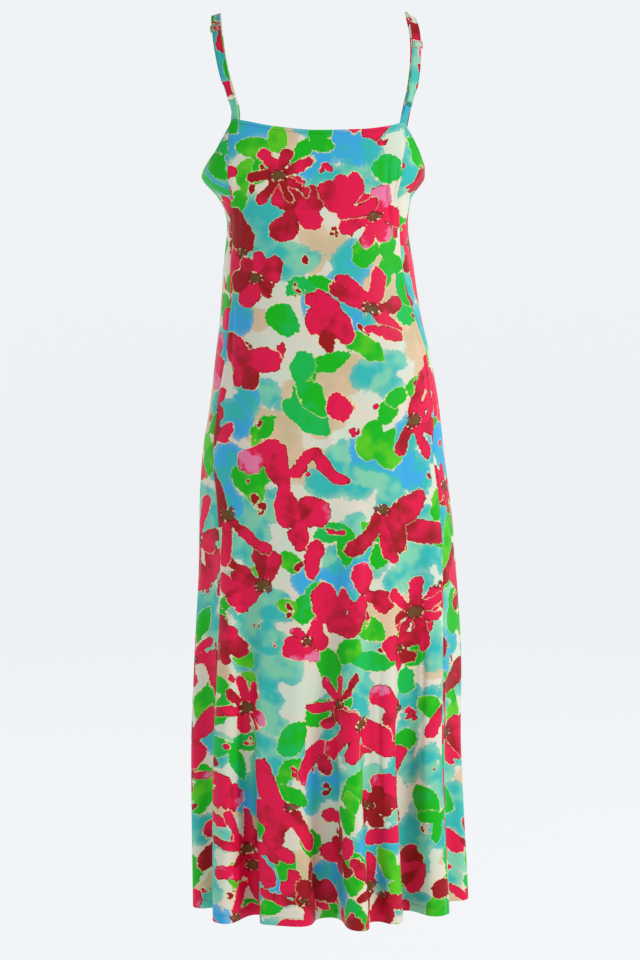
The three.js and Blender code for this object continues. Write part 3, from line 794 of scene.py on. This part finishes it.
def panel_rows(top, sizes, spacing):
    """How far down each row of a panel's mesh lies in each column, with an odd number of rows."""
    upper = top + sizes.band * BAND_ROWS[:, None]
    lower = HEM_DROP - sizes.hem * HEM_ROWS[::-1, None] + 0 * top
    bodice_steps = int((BODICE_DROP - upper[-1].min()) / spacing)
    share = (np.arange(1, bodice_steps) / bodice_steps)[:, None]
    bodice = upper[-1] + (BODICE_DROP - upper[-1]) * share
    skirt_steps = int((lower[0, 0] - BODICE_DROP) / spacing)
    skirt_steps += (len(upper) + len(bodice) + len(lower) + skirt_steps + 1) % 2
    skirt = np.linspace(BODICE_DROP, lower[0, 0], skirt_steps, endpoint=False)[:, None] + 0 * top
    return np.vstack([upper, bodice, skirt, lower])


def level_reach(columns, drop):
    """How far along the level line each place lies from the panel's middle."""
    levels = np.linspace(drop.min(), HEM_DROP, LEVELS)
    grid = cloth_point(columns + 0 * levels[:, None], levels[:, None] + 0 * columns)
    steps = np.linalg.norm(np.diff(grid, axis=1), axis=2)
    reach = np.hstack([np.zeros((LEVELS, 1)), np.cumsum(steps, axis=1)])
    reach -= reach[:, -1:] / 2
    return np.stack(
        [np.interp(drop[:, k], levels, reach[:, k]) for k in range(len(columns))], axis=1,
    )


def groove(distance, middle, width, depth):
    return depth * np.exp(-(((distance - middle) / width) ** 2))


def cloth_panel(name, start, end, spacing, bolt_place, sizes):
    """One panel of the dress as a thin shell with its turned edges, creases and print."""
    survey = cloth_point(np.linspace(start, end, SURVEY_POINTS), HEM_DROP)
    girth = np.linalg.norm(np.diff(survey, axis=0), axis=1).sum()
    columns = np.linspace(start, end, 2 * int(girth / spacing / 2) + 1)
    top = top_drop(round_at(columns, SEAMS["drop"][0]))
    drop = panel_rows(top, sizes, spacing)
    column = columns + 0 * drop
    point = cloth_point(column, drop)
    facing = cloth_facing(column, drop)
    level = unit(np.stack([facing[..., 1], -facing[..., 0], 0 * drop], axis=-1))
    point[:, 0] -= level[:, 0] * SEAM_GAP / 2
    point[:, -1] += level[:, -1] * SEAM_GAP / 2

    reach = level_reach(columns, drop)
    from_seam = np.minimum(reach - reach[:, :1], reach[:, -1:] - reach)
    from_hem = HEM_DROP - drop
    from_top = drop - top
    moved = creased(column, drop, girth / (end - start))
    moved -= groove(from_seam, 0, SEAM_GROOVE, sizes.seam_roll)
    moved -= groove(from_top, sizes.band * BAND_STITCHES, STITCH_GROOVE, BAND_SINK)
    moved -= groove(from_hem, sizes.hem * HEM_STITCHES, STITCH_GROOVE, HEM_SINK)
    outer = point + facing * moved[..., None]
    turned = np.maximum(
        smoothstep(from_hem, sizes.hem * 1.1, sizes.hem * 0.9),
        smoothstep(from_top, sizes.band * 1.1, sizes.band * 0.9),
    )
    wall = sizes.wall + (sizes.turned - sizes.wall) * turned
    inner = outer - facing * wall[..., None]
    fields = Print((reach + bolt_place).ravel(), drop.ravel()).fields
    piece = shell_piece(name, outer, inner, fields, INNER_STRIDE)
    rows = (list(BAND_ROWS).index(BAND_SEWN_ROW), -1 - list(HEM_ROWS).index(HEM_STITCHES))
    sewn = [outer[row] + facing[row] * THREAD_PROUD for row in rows]
    return piece, sewn


# A strap's section: how far across each point lies, and how thick the folded cloth is there.
STRAP_SECTION = table(
    "across thick",
    (-1, 0.35), (-0.97, 0.8), (-0.88, 1.0), (-0.78, 0.72), (-0.66, 0.88), (-0.33, 0.92), (0, 0.92),
    (0.33, 0.92), (0.66, 0.88), (0.78, 0.72), (0.88, 1.0), (0.97, 0.8), (1, 0.35),
)
STRAP_SEWN = (-0.78, 0.78)
STRAP_STEP = 2.4 * MM
LOOP_STEPS = 14


def ring_fall(across):
    within = np.minimum(np.abs(across), RING_RADIUS)
    return RING_RADIUS - np.sqrt(RING_RADIUS ** 2 - within ** 2)


def cloth_strip(name, strand, path, bolt_place):
    """A flat folded strip along stations of how far along, how far out, how wide and how much
    it follows the ring's curve."""
    along, out, width, hug = np.array(path).T
    heading = unit(np.stack([np.gradient(along), np.gradient(out)], axis=1))
    across = STRAP_SECTION["across"][None, :] * width[:, None] / 2
    places = along[:, None] + hug[:, None] * ring_fall(across)
    point, run, breadth, facing = strand.at(places)
    point = point + facing * out[:, None, None] + breadth * across[..., None]
    thick = facing * heading[:, None, :1] - run * heading[:, None, 1:]
    half = STRAP_THICK / 2 * STRAP_SECTION["thick"][None, :, None]
    outer = point + thick * half
    inner = point - thick * half
    travelled = np.append(0, np.cumsum(np.hypot(np.diff(along), np.diff(out))))
    u = bolt_place[0] + across
    v = bolt_place[1] + travelled[:, None] + 0 * across
    fields = Print(u.ravel(), v.ravel()).fields
    piece = shell_piece(name, outer, inner, fields, reverse=0.0)
    rows = [list(STRAP_SECTION["across"]).index(edge) for edge in STRAP_SEWN]
    sewn = [outer[:, row] + thick[:, row] * THREAD_PROUD for row in rows]
    return piece, travelled[-1], sewn


def even(start, end, step):
    return np.linspace(start, end, max(int(abs(end - start) / step), 2) + 1)


def loop_stations(wire_along, heading):
    turn = np.linspace(0, math.pi, LOOP_STEPS + 1)
    return [
        (wire_along + heading * LOOP_RADIUS * math.sin(t),
         -LAYER_STEP / 2 + LOOP_RADIUS * math.cos(t), LOOP_WIDTH, heading)
        for t in turn
    ]


def strap_path(strand, side):
    """One layer from the front to the slider's middle bar and on to the ring, and one back up."""
    slider = strand.along_at_drop(side["slider_drop"])
    wire = strand.along_at_drop(side["ring_drop"]) - RING_RADIUS
    stem = wire - LOOP_STEM
    over_bar = SLIDER_OUT + SLIDER_THICK / 2 + CLEARANCE + STRAP_THICK / 2
    under_bar = SLIDER_OUT - SLIDER_THICK / 2 - CLEARANCE - STRAP_THICK / 2
    slot = SLIDER_HEIGHT / 2 - SLIDER_BAR

    def plain(along, out):
        width = STRAP_WIDTH + (LOOP_WIDTH - STRAP_WIDTH) * smoothstep(along, stem - NARROWING, stem)
        return along, out, width, 0

    first = [plain(a, 0) for a in even(0, slider - slot, STRAP_STEP)]
    bridge = np.linspace(slider - slot, slider + slot, 13)[1:-1]
    rise = [over_bar * smoothstep(slot - abs(a - slider), 0, slot - SLIDER_BAR) for a in bridge]
    over = [plain(a, out) for a, out in zip(bridge, rise)]
    down = [plain(a, 0) for a in even(slider + slot, stem, STRAP_STEP)]
    back = [plain(a, -LAYER_STEP) for a in even(stem, slider + slot, STRAP_STEP)]
    tail = [plain(slider + SLIDER_BAR, under_bar), plain(slider - SLIDER_BAR / 2, under_bar)]
    return [*first, *over, *down, *loop_stations(wire, 1), *back, *tail]


def tab_path(strand, side):
    wire = strand.along_at_drop(side["ring_drop"]) + RING_RADIUS
    stem = wire + LOOP_STEM

    def plain(along, out):
        widened = smoothstep(along, stem, strand.length)
        return along, out, LOOP_WIDTH + (TAB_BASE_WIDTH - LOOP_WIDTH) * widened, 0

    down = [plain(a, 0) for a in even(strand.length, stem, STRAP_STEP)]
    up = [plain(a, -LAYER_STEP) for a in even(stem, strand.length, STRAP_STEP)]
    return [*down, *loop_stations(wire, -1), *up]


def put(tree, socket, value):
    """Links a value that comes from the tree, or sets one that is the same everywhere."""
    if isinstance(value, Flow):
        tree.links.new(value.socket, socket)
    elif socket.type == "RGBA" and len(value) == 3:
        socket.default_value = (*value, 1)
    else:
        socket.default_value = value


def add_node(tree, kind, settings=None, inputs=None):
    """Adds a node: its settings first, then the values or links of its inputs."""
    node = tree.nodes.new(kind)
    for key, value in (settings or {}).items():
        setattr(node, key, value)
    for key, value in (inputs or {}).items():
        put(tree, node.inputs[key], value)
    return node


def flow_node(tree, kind, settings=None, inputs=None, output=0):
    """Adds a node and gives what flows out of one of its outputs."""
    return Flow(tree, add_node(tree, kind, settings, inputs).outputs[output])


class Flow:
    """A number, colour or vector that flows through a tree, with the arithmetic of numbers."""

    def __init__(self, tree, socket):
        self.tree = tree
        self.socket = socket

    def math(self, operation, *others):
        return flow_node(
            self.tree, "ShaderNodeMath", {"operation": operation}, dict(enumerate(others)),
        )

    def __add__(self, other):
        return self.math("ADD", self, other)

    __radd__ = __add__

    def __sub__(self, other):
        return self.math("SUBTRACT", self, other)

    def __rsub__(self, other):
        return self.math("SUBTRACT", other, self)

    def __mul__(self, other):
        return self.math("MULTIPLY", self, other)

    __rmul__ = __mul__

    def at_least(self, other):
        return self.math("MAXIMUM", self, other)

    def ramp(self, low, high):
        """Nought below low, one above high and smooth between, or turned round if low is the higher."""
        return flow_node(
            self.tree, "ShaderNodeMapRange", {"interpolation_type": "SMOOTHSTEP"},
            {"Value": self, "From Min": low, "From Max": high},
        )


class Finish:
    """A material and the parts that its finishes are made from."""

    def __init__(self, name, **constants):
        self.material = bpy.data.materials.new(name)
        self.material.use_nodes = True
        self.tree = self.material.node_tree
        self.shader = self.tree.nodes["Principled BSDF"]
        self.set(**constants)

    def node(self, kind, settings=None, inputs=None, output=0):
        return flow_node(self.tree, kind, settings, inputs, output)

    def attribute(self, name, output="Fac"):
        return self.node("ShaderNodeAttribute", {"attribute_name": name}, output=output)

    def mix(self, factor, low, high):
        inputs = {0: factor, 6: low, 7: high}
        return self.node("ShaderNodeMix", {"data_type": "RGBA"}, inputs, output=2)

    def scaled(self, vector, *factors):
        return self.node("ShaderNodeVectorMath", {"operation": "MULTIPLY"}, {0: vector, 1: factors})

    def noise(self, vector, scale, detail=2.0, roughness=0.5):
        inputs = {"Vector": vector, "Scale": scale, "Detail": detail, "Roughness": roughness}
        return self.node("ShaderNodeTexNoise", None, inputs)

    def bump(self, height, distance, strength):
        inputs = {"Height": height, "Distance": distance, "Strength": strength}
        return self.node("ShaderNodeBump", None, inputs)

    def set(self, **values):
        """Sets or links the shader's sockets, named with underscores for spaces."""
        for key, value in values.items():
            put(self.tree, self.shader.inputs[key.replace("_", " ")], value)
        return self.material


# How fine the print's brush edges, loose drift and pools of paint are, then the jersey's ribs, the
# thread's plies with their painted shade, and the rubbing and scratches on the metal.
RAGGED_SCALE = 170
LOOSE_SCALE = 42
POOL_SCALE = 19
RIB_SCALE = 370
THREAD_SCALE = 1800
RUBBED_SCALE = 700
SCRATCH_SCALE = 2600


def jersey_finish(colours):
    """Printed jersey: washes, leaves and petals in layers, with fine ribs and a soft sheen."""
    finish = Finish(JERSEY, Sheen_Weight=0.03, Sheen_Roughness=0.4, Specular_IOR_Level=0.22)
    bolt = finish.attribute("bolt", "Vector")
    ragged = finish.noise(bolt, RAGGED_SCALE, 2, 0.6) - 0.5
    loose = finish.noise(bolt, LOOSE_SCALE, 1) - 0.5
    pool = finish.noise(bolt, POOL_SCALE, 2)
    torn = ragged * 0.0088 + loose * 0.0130
    lined = pool.ramp(0.44, 0.52)
    parted = 0.9 - 0.5 * lined

    colour = finish.mix(pool.ramp(0.38, 0.66), colours.cream, colours.pale_mint)
    for layer, shade, drift in (
        ("peach", colours.peach, colours.sand), ("mint", colours.mint, colours.aqua),
        ("aqua", colours.aqua, colours.mint), ("sky", colours.sky, colours.aqua),
    ):
        edge = finish.attribute(layer) + torn * 1.5
        wash = finish.mix((pool + loose * 0.4).ramp(0.40, 0.62), shade, drift)
        strength = 0.84 + 0.16 * edge.ramp(-0.002, -0.010)
        colour = finish.mix(edge.ramp(0.0012, -0.0016) * strength, colour, wash)

    for layer in ("leaf_a", "leaf_b"):
        edge = finish.attribute(layer) + torn
        tone = finish.attribute(f"{layer}_tone") + loose * 1.1
        green = finish.mix(tone.ramp(0.0, 0.35), colours.emerald, colours.leaf)
        green = finish.mix(tone.ramp(0.62, 1.05), green, colours.lime)
        colour = finish.mix(edge.ramp(0.0014, 0.0008) * parted, colour, colours.halo)
        colour = finish.mix(edge.ramp(0.0003, -0.0003), colour, green)

    for layer in ("bud", "petal_a", "petal_b"):
        edge = finish.attribute(layer) + torn
        tone = finish.attribute(f"{layer}_tone") + ragged * 0.3 + loose * 1.2
        rim = edge.ramp(-0.0022, -0.0010) * lined
        red = finish.mix(tone.ramp(0.14, 0.78).at_least(rim), colours.pink, colours.crimson)
        red = finish.mix(tone.ramp(-0.42, -0.62) * (1 - rim), red, colours.rose)
        colour = finish.mix(edge.ramp(0.0016, 0.0009) * parted, colour, colours.halo)
        colour = finish.mix(edge.ramp(0.0003, -0.0003), colour, red)

    heart = finish.attribute("heart") + ragged * 0.014 + loose * 0.016
    middle = finish.mix(heart.ramp(-0.0024, -0.0050), colours.heart, colours.olive)
    colour = finish.mix(heart.ramp(0.0008, -0.0008) * 0.92, colour, middle)
    speck = heart.math("ABSOLUTE", heart).ramp(0.0024, 0.0012) * ragged.ramp(0.07, 0.10)
    colour = finish.mix(speck, colour, colours.halo)

    paler = finish.mix(0.5, colour, colours.cream)
    colour = finish.mix(finish.attribute("reverse"), colour, paler)

    ribs = finish.node(
        "ShaderNodeTexWave", {"wave_type": "BANDS", "bands_direction": "X", "wave_profile": "SIN"},
        {"Vector": bolt, "Scale": RIB_SCALE, "Distortion": 0.6, "Detail": 1, "Detail Scale": 2},
    )
    normal = finish.bump(ribs * 0.06 + pool * 3.0 + ragged * 0.3, 0.0006, 0.35)
    roughness = 0.55 + ragged * 0.08
    return finish.set(Base_Color=colour, Roughness=roughness, Normal=normal)


def thread_finish(colour):
    """Sewing thread: two plies that twist round each other, with painted shade that darkens the low places
    of their bump.
    """
    finish = Finish("sewing_thread", Roughness=0.62, Sheen_Weight=0.2)
    place = finish.node("ShaderNodeTexCoord", output="Object")
    twist = finish.noise(place, THREAD_SCALE, 2)
    # Painted shade: the thread's colour falls to 0.78 of itself where the twist is low, in the hollows of
    # its bump.
    shade = finish.mix(twist.ramp(0.35, 0.65), tuple(0.78 * x for x in colour), colour)
    return finish.set(Base_Color=shade, Normal=finish.bump(twist, 0.0001, 0.5))


def metal_finish(name, colour):
    """Plated wire and sheet: polished, with faint rubbing in small patches over the whole piece."""
    finish = Finish(name, Metallic=1.0)
    place = finish.node("ShaderNodeTexCoord", output="Object")
    rubbed = finish.noise(place, RUBBED_SCALE, 3, 0.6)
    scratch = finish.noise(finish.scaled(place, 1, 1, 6), SCRATCH_SCALE, 2)
    shade = finish.mix(rubbed.ramp(0.4, 0.7), colour, tuple(min(1, 1.12 * x) for x in colour))
    roughness = 0.16 + rubbed * 0.16
    return finish.set(
        Base_Color=shade, Roughness=roughness, Normal=finish.bump(scratch, 0.00003, 0.3),
    )


def stitch_tree():
    """Geometry Nodes that lay stitches end to end along every path."""
    tree = bpy.data.node_groups.new("stitch_runs", "GeometryNodeTree")
    for name, kind in (
        ("Paths", "Geometry"), ("Stitch length", "Float"), ("Stitch pitch", "Float"),
        ("Thread thickness", "Float"), ("Thread", "Material"),
    ):
        socket = tree.interface.new_socket(name, in_out="INPUT", socket_type=f"NodeSocket{kind}")
        if kind == "Float":
            socket.subtype = "DISTANCE"
    tree.interface.new_socket("Stitches", in_out="OUTPUT", socket_type="NodeSocketGeometry")
    given = {
        socket.name: Flow(tree, socket) for socket in tree.nodes.new("NodeGroupInput").outputs
    }
    curves = flow_node(tree, "GeometryNodeMeshToCurve", None, {"Mesh": given["Paths"]})
    points = flow_node(
        tree, "GeometryNodeCurveToPoints", {"mode": "LENGTH"},
        {"Curve": curves, "Length": given["Stitch pitch"]},
    )
    tangent = Flow(tree, points.socket.node.outputs["Tangent"])
    turned = flow_node(tree, "FunctionNodeAlignRotationToVector", {"axis": "Z"}, {"Vector": tangent})
    half = given["Thread thickness"] * 0.5
    scale = flow_node(
        tree, "ShaderNodeCombineXYZ", None, {"X": half, "Y": half, "Z": given["Stitch length"] * 0.5},
    )
    ball = flow_node(tree, "GeometryNodeMeshUVSphere", None, {"Segments": 6, "Rings": 5, "Radius": 1.0})
    stitch = flow_node(tree, "GeometryNodeTransform", None, {"Geometry": ball, "Scale": scale})
    placed = flow_node(
        tree, "GeometryNodeInstanceOnPoints", None,
        {"Points": points, "Instance": stitch, "Rotation": turned},
    )
    real = flow_node(tree, "GeometryNodeRealizeInstances", None, {"Geometry": placed})
    threaded = flow_node(
        tree, "GeometryNodeSetMaterial", None, {"Geometry": real, "Material": given["Thread"]},
    )
    add_node(tree, "NodeGroupOutput", None, {"Stitches": threaded})
    return tree


def stitches(name, paths, sizes, material):
    """Sews along the paths and keeps the stitches as a plain mesh."""
    points = np.vstack(paths)
    ends = np.cumsum([len(path) for path in paths])
    edges = [(i, i + 1) for i in range(len(points) - 1) if i + 1 not in ends]
    base = bpy.data.meshes.new(f"{name}_paths")
    base.from_pydata([tuple(point) for point in points], edges, [])
    carrier = add_object(f"{name}_paths", base)
    tree = stitch_tree()
    modifier = carrier.modifiers.new("stitches", "NODES")
    modifier.node_group = tree
    values = {
        "Stitch length": sizes.stitch_length, "Stitch pitch": sizes.stitch_pitch,
        "Thread thickness": sizes.thread, "Thread": material,
    }
    for item in tree.interface.items_tree:
        if item.in_out == "INPUT" and item.name in values:
            modifier[item.identifier] = values[item.name]
    mesh = made_mesh(carrier, name)
    mesh.polygons.foreach_set("use_smooth", [True] * len(mesh.polygons))
    if not mesh.polygons:
        raise RuntimeError(f"no stitches were made for {name}")
    return add_object(name, mesh)


def ride_as(piece, slot, *replaced):
    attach(piece, BODY)
    if replaced:
        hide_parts(*replaced)


class SUNDRESS_OT_panels(bpy.types.Operator):
    """Make the back and front panels with their folds, creases, turned edges and print"""

    bl_idname = "sundress.panels"
    bl_label = "Panels"

    def execute(self, context):
        sizes = context.scene.sundress_cloth
        trim = context.scene.sundress_trim
        material = jersey_finish(context.scene.sundress_print)
        paths = []
        for name, panel in PANELS.items():
            piece, sewn = cloth_panel(
                f"{name}_cloth", *panel["columns"], getattr(sizes, f"{name}_spacing"),
                panel["bolt"], sizes,
            )
            piece.data.materials.append(material)
            ride_as(piece, CLOTH_SLOT, *(f"{name}_panel_{part}" for part in STRETCHES))
            flat = (getattr(sizes, f"{name}_width"), getattr(sizes, f"{name}_length"))
            area = panel["share"] * flat[0] * flat[1]
            paths.extend(sewn)
        thread = thread_finish(tuple(trim.thread_colour))
        ride_as(stitches("edge_stitching", paths, trim, thread), CLOTH_SLOT)
        return {"FINISHED"}


class SUNDRESS_OT_straps(bpy.types.Operator):
    """Make the two straps and the tabs that hang their rings from the back neckline"""

    bl_idname = "sundress.straps"
    bl_label = "Straps and tabs"

    def execute(self, context):
        trim = context.scene.sundress_trim
        paths = []
        for name, side in SIDES.items():
            strand = Strand(name)
            for kind, make_path in (("strap", strap_path), ("tab", tab_path)):
                piece, length, sewn = cloth_strip(
                    f"{name}_{kind}_cloth", strand, make_path(strand, side), side[f"{kind}_bolt"],
                )
                piece.data.materials.append(bpy.data.materials[JERSEY])
                ride_as(piece, CLOTH_SLOT, f"{name}_{kind}")
                paths.extend(sewn)
        sewing = stitches("strap_stitching", paths, trim, bpy.data.materials["sewing_thread"])
        ride_as(sewing, CLOTH_SLOT)
        return {"FINISHED"}


def placed_on(strand, along, out):
    """The place of a piece of hardware, its own X across the strap, Y up and Z outwards."""
    point, run, breadth, facing = (Vector(value) for value in strand.at(along))
    turned = Matrix((breadth, -run, facing)).transposed().to_4x4()
    return Matrix.Translation(point + facing * out) @ turned


def ring_mesh(name):
    """A round wire ring."""
    round_ring = np.linspace(0, 2 * math.pi, RING_STEPS, endpoint=False)
    round_wire = np.linspace(0, 2 * math.pi, RING_SIDES, endpoint=False)
    reach = RING_RADIUS + RING_WIRE / 2 * np.cos(round_wire)[None, :]
    x = reach * np.cos(round_ring)[:, None]
    y = reach * np.sin(round_ring)[:, None]
    z = RING_WIRE / 2 * np.sin(round_wire)[None, :] + 0 * x
    points = np.stack([x, y, z], axis=-1).reshape(-1, 3)
    at = np.arange(RING_STEPS * RING_SIDES).reshape(RING_STEPS, RING_SIDES)
    following = np.roll(at, -1, axis=0)
    faces = np.stack(
        [at, following, np.roll(following, -1, axis=1), np.roll(at, -1, axis=1)], axis=-1,
    ).reshape(-1, 4).tolist()
    return mesh_object(name, points, faces)


def rounded_rectangle(width, height, corner, middle=0.0, steps=5):
    """The outline of an upright rectangle with rounded corners."""
    points = []
    for quarter, (sx, sy) in enumerate(((1, -1), (1, 1), (-1, 1), (-1, -1))):
        centre = (sx * (width / 2 - corner), middle + sy * (height / 2 - corner))
        for step in range(steps + 1):
            angle = math.pi / 2 * (quarter - 1 + step / steps)
            points.append((centre[0] + corner * math.cos(angle), centre[1] + corner * math.sin(angle)))
    return points


def slider_mesh(name):
    """A three-bar strap slider with softened edges."""
    slot_height = (SLIDER_HEIGHT - 3 * SLIDER_BAR) / 2
    slot_width = SLIDER_WIDTH - 2 * SLIDER_BAR
    outlines = [rounded_rectangle(SLIDER_WIDTH, SLIDER_HEIGHT, SLIDER_CORNER)]
    for above in (-1, 1):
        middle = above * (slot_height + SLIDER_BAR) / 2
        outlines.append(rounded_rectangle(slot_width, slot_height, SLOT_CORNER, middle))
    curve = bpy.data.curves.new(name, "CURVE")
    curve.dimensions = "2D"
    curve.fill_mode = "BOTH"
    curve.bevel_depth = SLIDER_ROUNDING
    curve.bevel_resolution = 3
    curve.offset = -SLIDER_ROUNDING
    curve.extrude = SLIDER_THICK / 2 - SLIDER_ROUNDING
    for outline in outlines:
        spline = curve.splines.new("POLY")
        spline.points.add(len(outline) - 1)
        for point, (x, y) in zip(spline.points, outline):
            point.co = (x, y, 0, 1)
        spline.use_cyclic_u = True
    return add_object(name, made_mesh(add_object(name, curve), name))


class SUNDRESS_OT_hardware(bpy.types.Operator):
    """Make the rings and sliders of the two straps"""

    bl_idname = "sundress.hardware"
    bl_label = "Rings and sliders"

    def execute(self, context):
        colour = tuple(context.scene.sundress_trim.metal_colour)
        material = metal_finish("plated_metal", colour)
        for name, side in SIDES.items():
            strand = Strand(name)
            for kind, make, out in (
                ("ring", ring_mesh, -LAYER_STEP / 2), ("slider", slider_mesh, SLIDER_OUT),
            ):
                piece = make(f"{name}_{kind}_metal")
                along = strand.along_at_drop(side[f"{kind}_drop"])
                piece.data.transform(placed_on(strand, along, out))
                piece.data.materials.clear()
                piece.data.materials.append(material)
                ride_as(piece, METAL_SLOT, f"{name}_{kind}")
        return {"FINISHED"}


def bowl_mesh(name, floor):
    """A wide floor that curves up into an even wall all round."""
    flat = BOWL_RADIUS - BOWL_CURVE
    profile = [(BOWL_MIDDLE, floor), (flat / 2, floor), (flat, floor)]
    for step in range(1, BOWL_STEPS + 1):
        angle = math.pi / 2 * step / BOWL_STEPS
        out, up = BOWL_CURVE * math.sin(angle), BOWL_CURVE * (1 - math.cos(angle))
        profile.append((flat + out, floor + up))
    profile.append((BOWL_RADIUS, floor + BOWL_CURVE + BOWL_WALL))
    angles = np.linspace(0, 2 * math.pi, BOWL_SIDES, endpoint=False)
    points = [(r * math.cos(a), r * math.sin(a), z) for r, z in profile for a in angles]
    at = np.arange(len(points)).reshape(-1, BOWL_SIDES)
    beside = np.roll(at, -1, axis=1)
    walls = np.stack([at[:-1], at[1:], beside[1:], beside[:-1]], axis=-1)
    return mesh_object(name, points, [at[0].tolist(), *walls.reshape(-1, 4).tolist()])


def paper_finish(sizes):
    """Pale paper that glows evenly, a little less on the camera's side."""
    pale = tuple(sizes.backdrop)
    finish = Finish(
        "studio_paper", Base_Color=tuple(PAPER_ALBEDO * x for x in pale), Roughness=0.9,
        Specular_IOR_Level=0.0, Emission_Strength=sizes.glow,
    )
    place = finish.node("ShaderNodeTexCoord", output="Object")
    depth = finish.node("ShaderNodeSeparateXYZ", None, {0: place}, output="Y")
    dim = tuple(sizes.front_glow * x for x in pale)
    finish.material.cycles.emission_sampling = "NONE"
    return finish.set(Emission_Color=finish.mix(depth.ramp(-BOWL_RADIUS, 0), dim, pale))


def light_sky(sizes):
    world = bpy.data.worlds.new("studio_light")
    world.use_nodes = True
    background = world.node_tree.nodes["Background"]
    background.inputs["Color"].default_value = (*sizes.backdrop, 1)
    background.inputs["Strength"].default_value = sizes.sky
    bpy.context.scene.world = world


def hang_lamp(name, place, size, power):
    light = bpy.data.lights.new(name, "AREA")
    light.shape = "DISK"
    light.size = size
    light.energy = power
    holder = add_object(name, light)
    holder.location = place
    aim = Vector(LIT_POINT) - holder.location
    holder.rotation_euler = aim.to_track_quat("-Z", "Y").to_euler()


def set_camera(sizes):
    data = bpy.data.cameras.new("camera")
    data.sensor_width = SENSOR
    data.lens = sizes.focal
    camera = add_object("camera", data)
    camera.location = (0, -sizes.distance, -sizes.below)
    camera.rotation_euler = (math.pi / 2 - sizes.tilt, 0, 0)
    bpy.context.scene.camera = camera


class SUNDRESS_OT_studio(bpy.types.Operator):
    """Make the pale floor and backdrop, the soft lights and the camera"""

    bl_idname = "sundress.studio"
    bl_label = "Studio"

    def execute(self, context):
        sizes = context.scene.sundress_studio
        floor = bowl_mesh("studio_floor", -sizes.floor)
        floor.data.materials.append(paper_finish(sizes))
        light_sky(sizes)
        for name, lamp in LAMPS.items():
            hang_lamp(name, **lamp)
        set_camera(sizes)
        context.scene.view_settings.view_transform = "Standard"
        return {"FINISHED"}


class SUNDRESS_PT_sidebar(bpy.types.Panel):
    """Sizes, colours and steps of the sundress"""

    bl_label = "Sundress"
    bl_idname = "SUNDRESS_PT_sidebar"
    bl_space_type = "VIEW_3D"
    bl_region_type = "UI"
    bl_category = "Sundress"

    def draw(self, context):
        for group in (name for name, _ in GROUPS):
            box = self.layout.box()
            values = getattr(context.scene, group)
            for key in values.__annotations__:
                box.prop(values, key)
        for step in STEPS:
            self.layout.operator(step.bl_idname)


GROUPS = (
    ("sundress_cloth", ClothSizes),
    ("sundress_print", PrintColours),
    ("sundress_trim", TrimSizes),
    ("sundress_studio", StudioSizes),
)
STEPS = (SUNDRESS_OT_studio, SUNDRESS_OT_panels, SUNDRESS_OT_straps, SUNDRESS_OT_hardware)


def register():
    for name, group in GROUPS:
        bpy.utils.register_class(group)
        setattr(bpy.types.Scene, name, bpy.props.PointerProperty(type=group))
    for kind in (*STEPS, SUNDRESS_PT_sidebar):
        bpy.utils.register_class(kind)


def unregister():
    for kind in reversed((*STEPS, SUNDRESS_PT_sidebar)):
        bpy.utils.unregister_class(kind)
    for name, group in reversed(GROUPS):
        delattr(bpy.types.Scene, name)
        bpy.utils.unregister_class(group)


def main():
    register()
    bpy.ops.sundress.studio()
    bpy.ops.sundress.panels()
    bpy.ops.sundress.straps()
    bpy.ops.sundress.hardware()


if __name__ == "__main__":
    main()
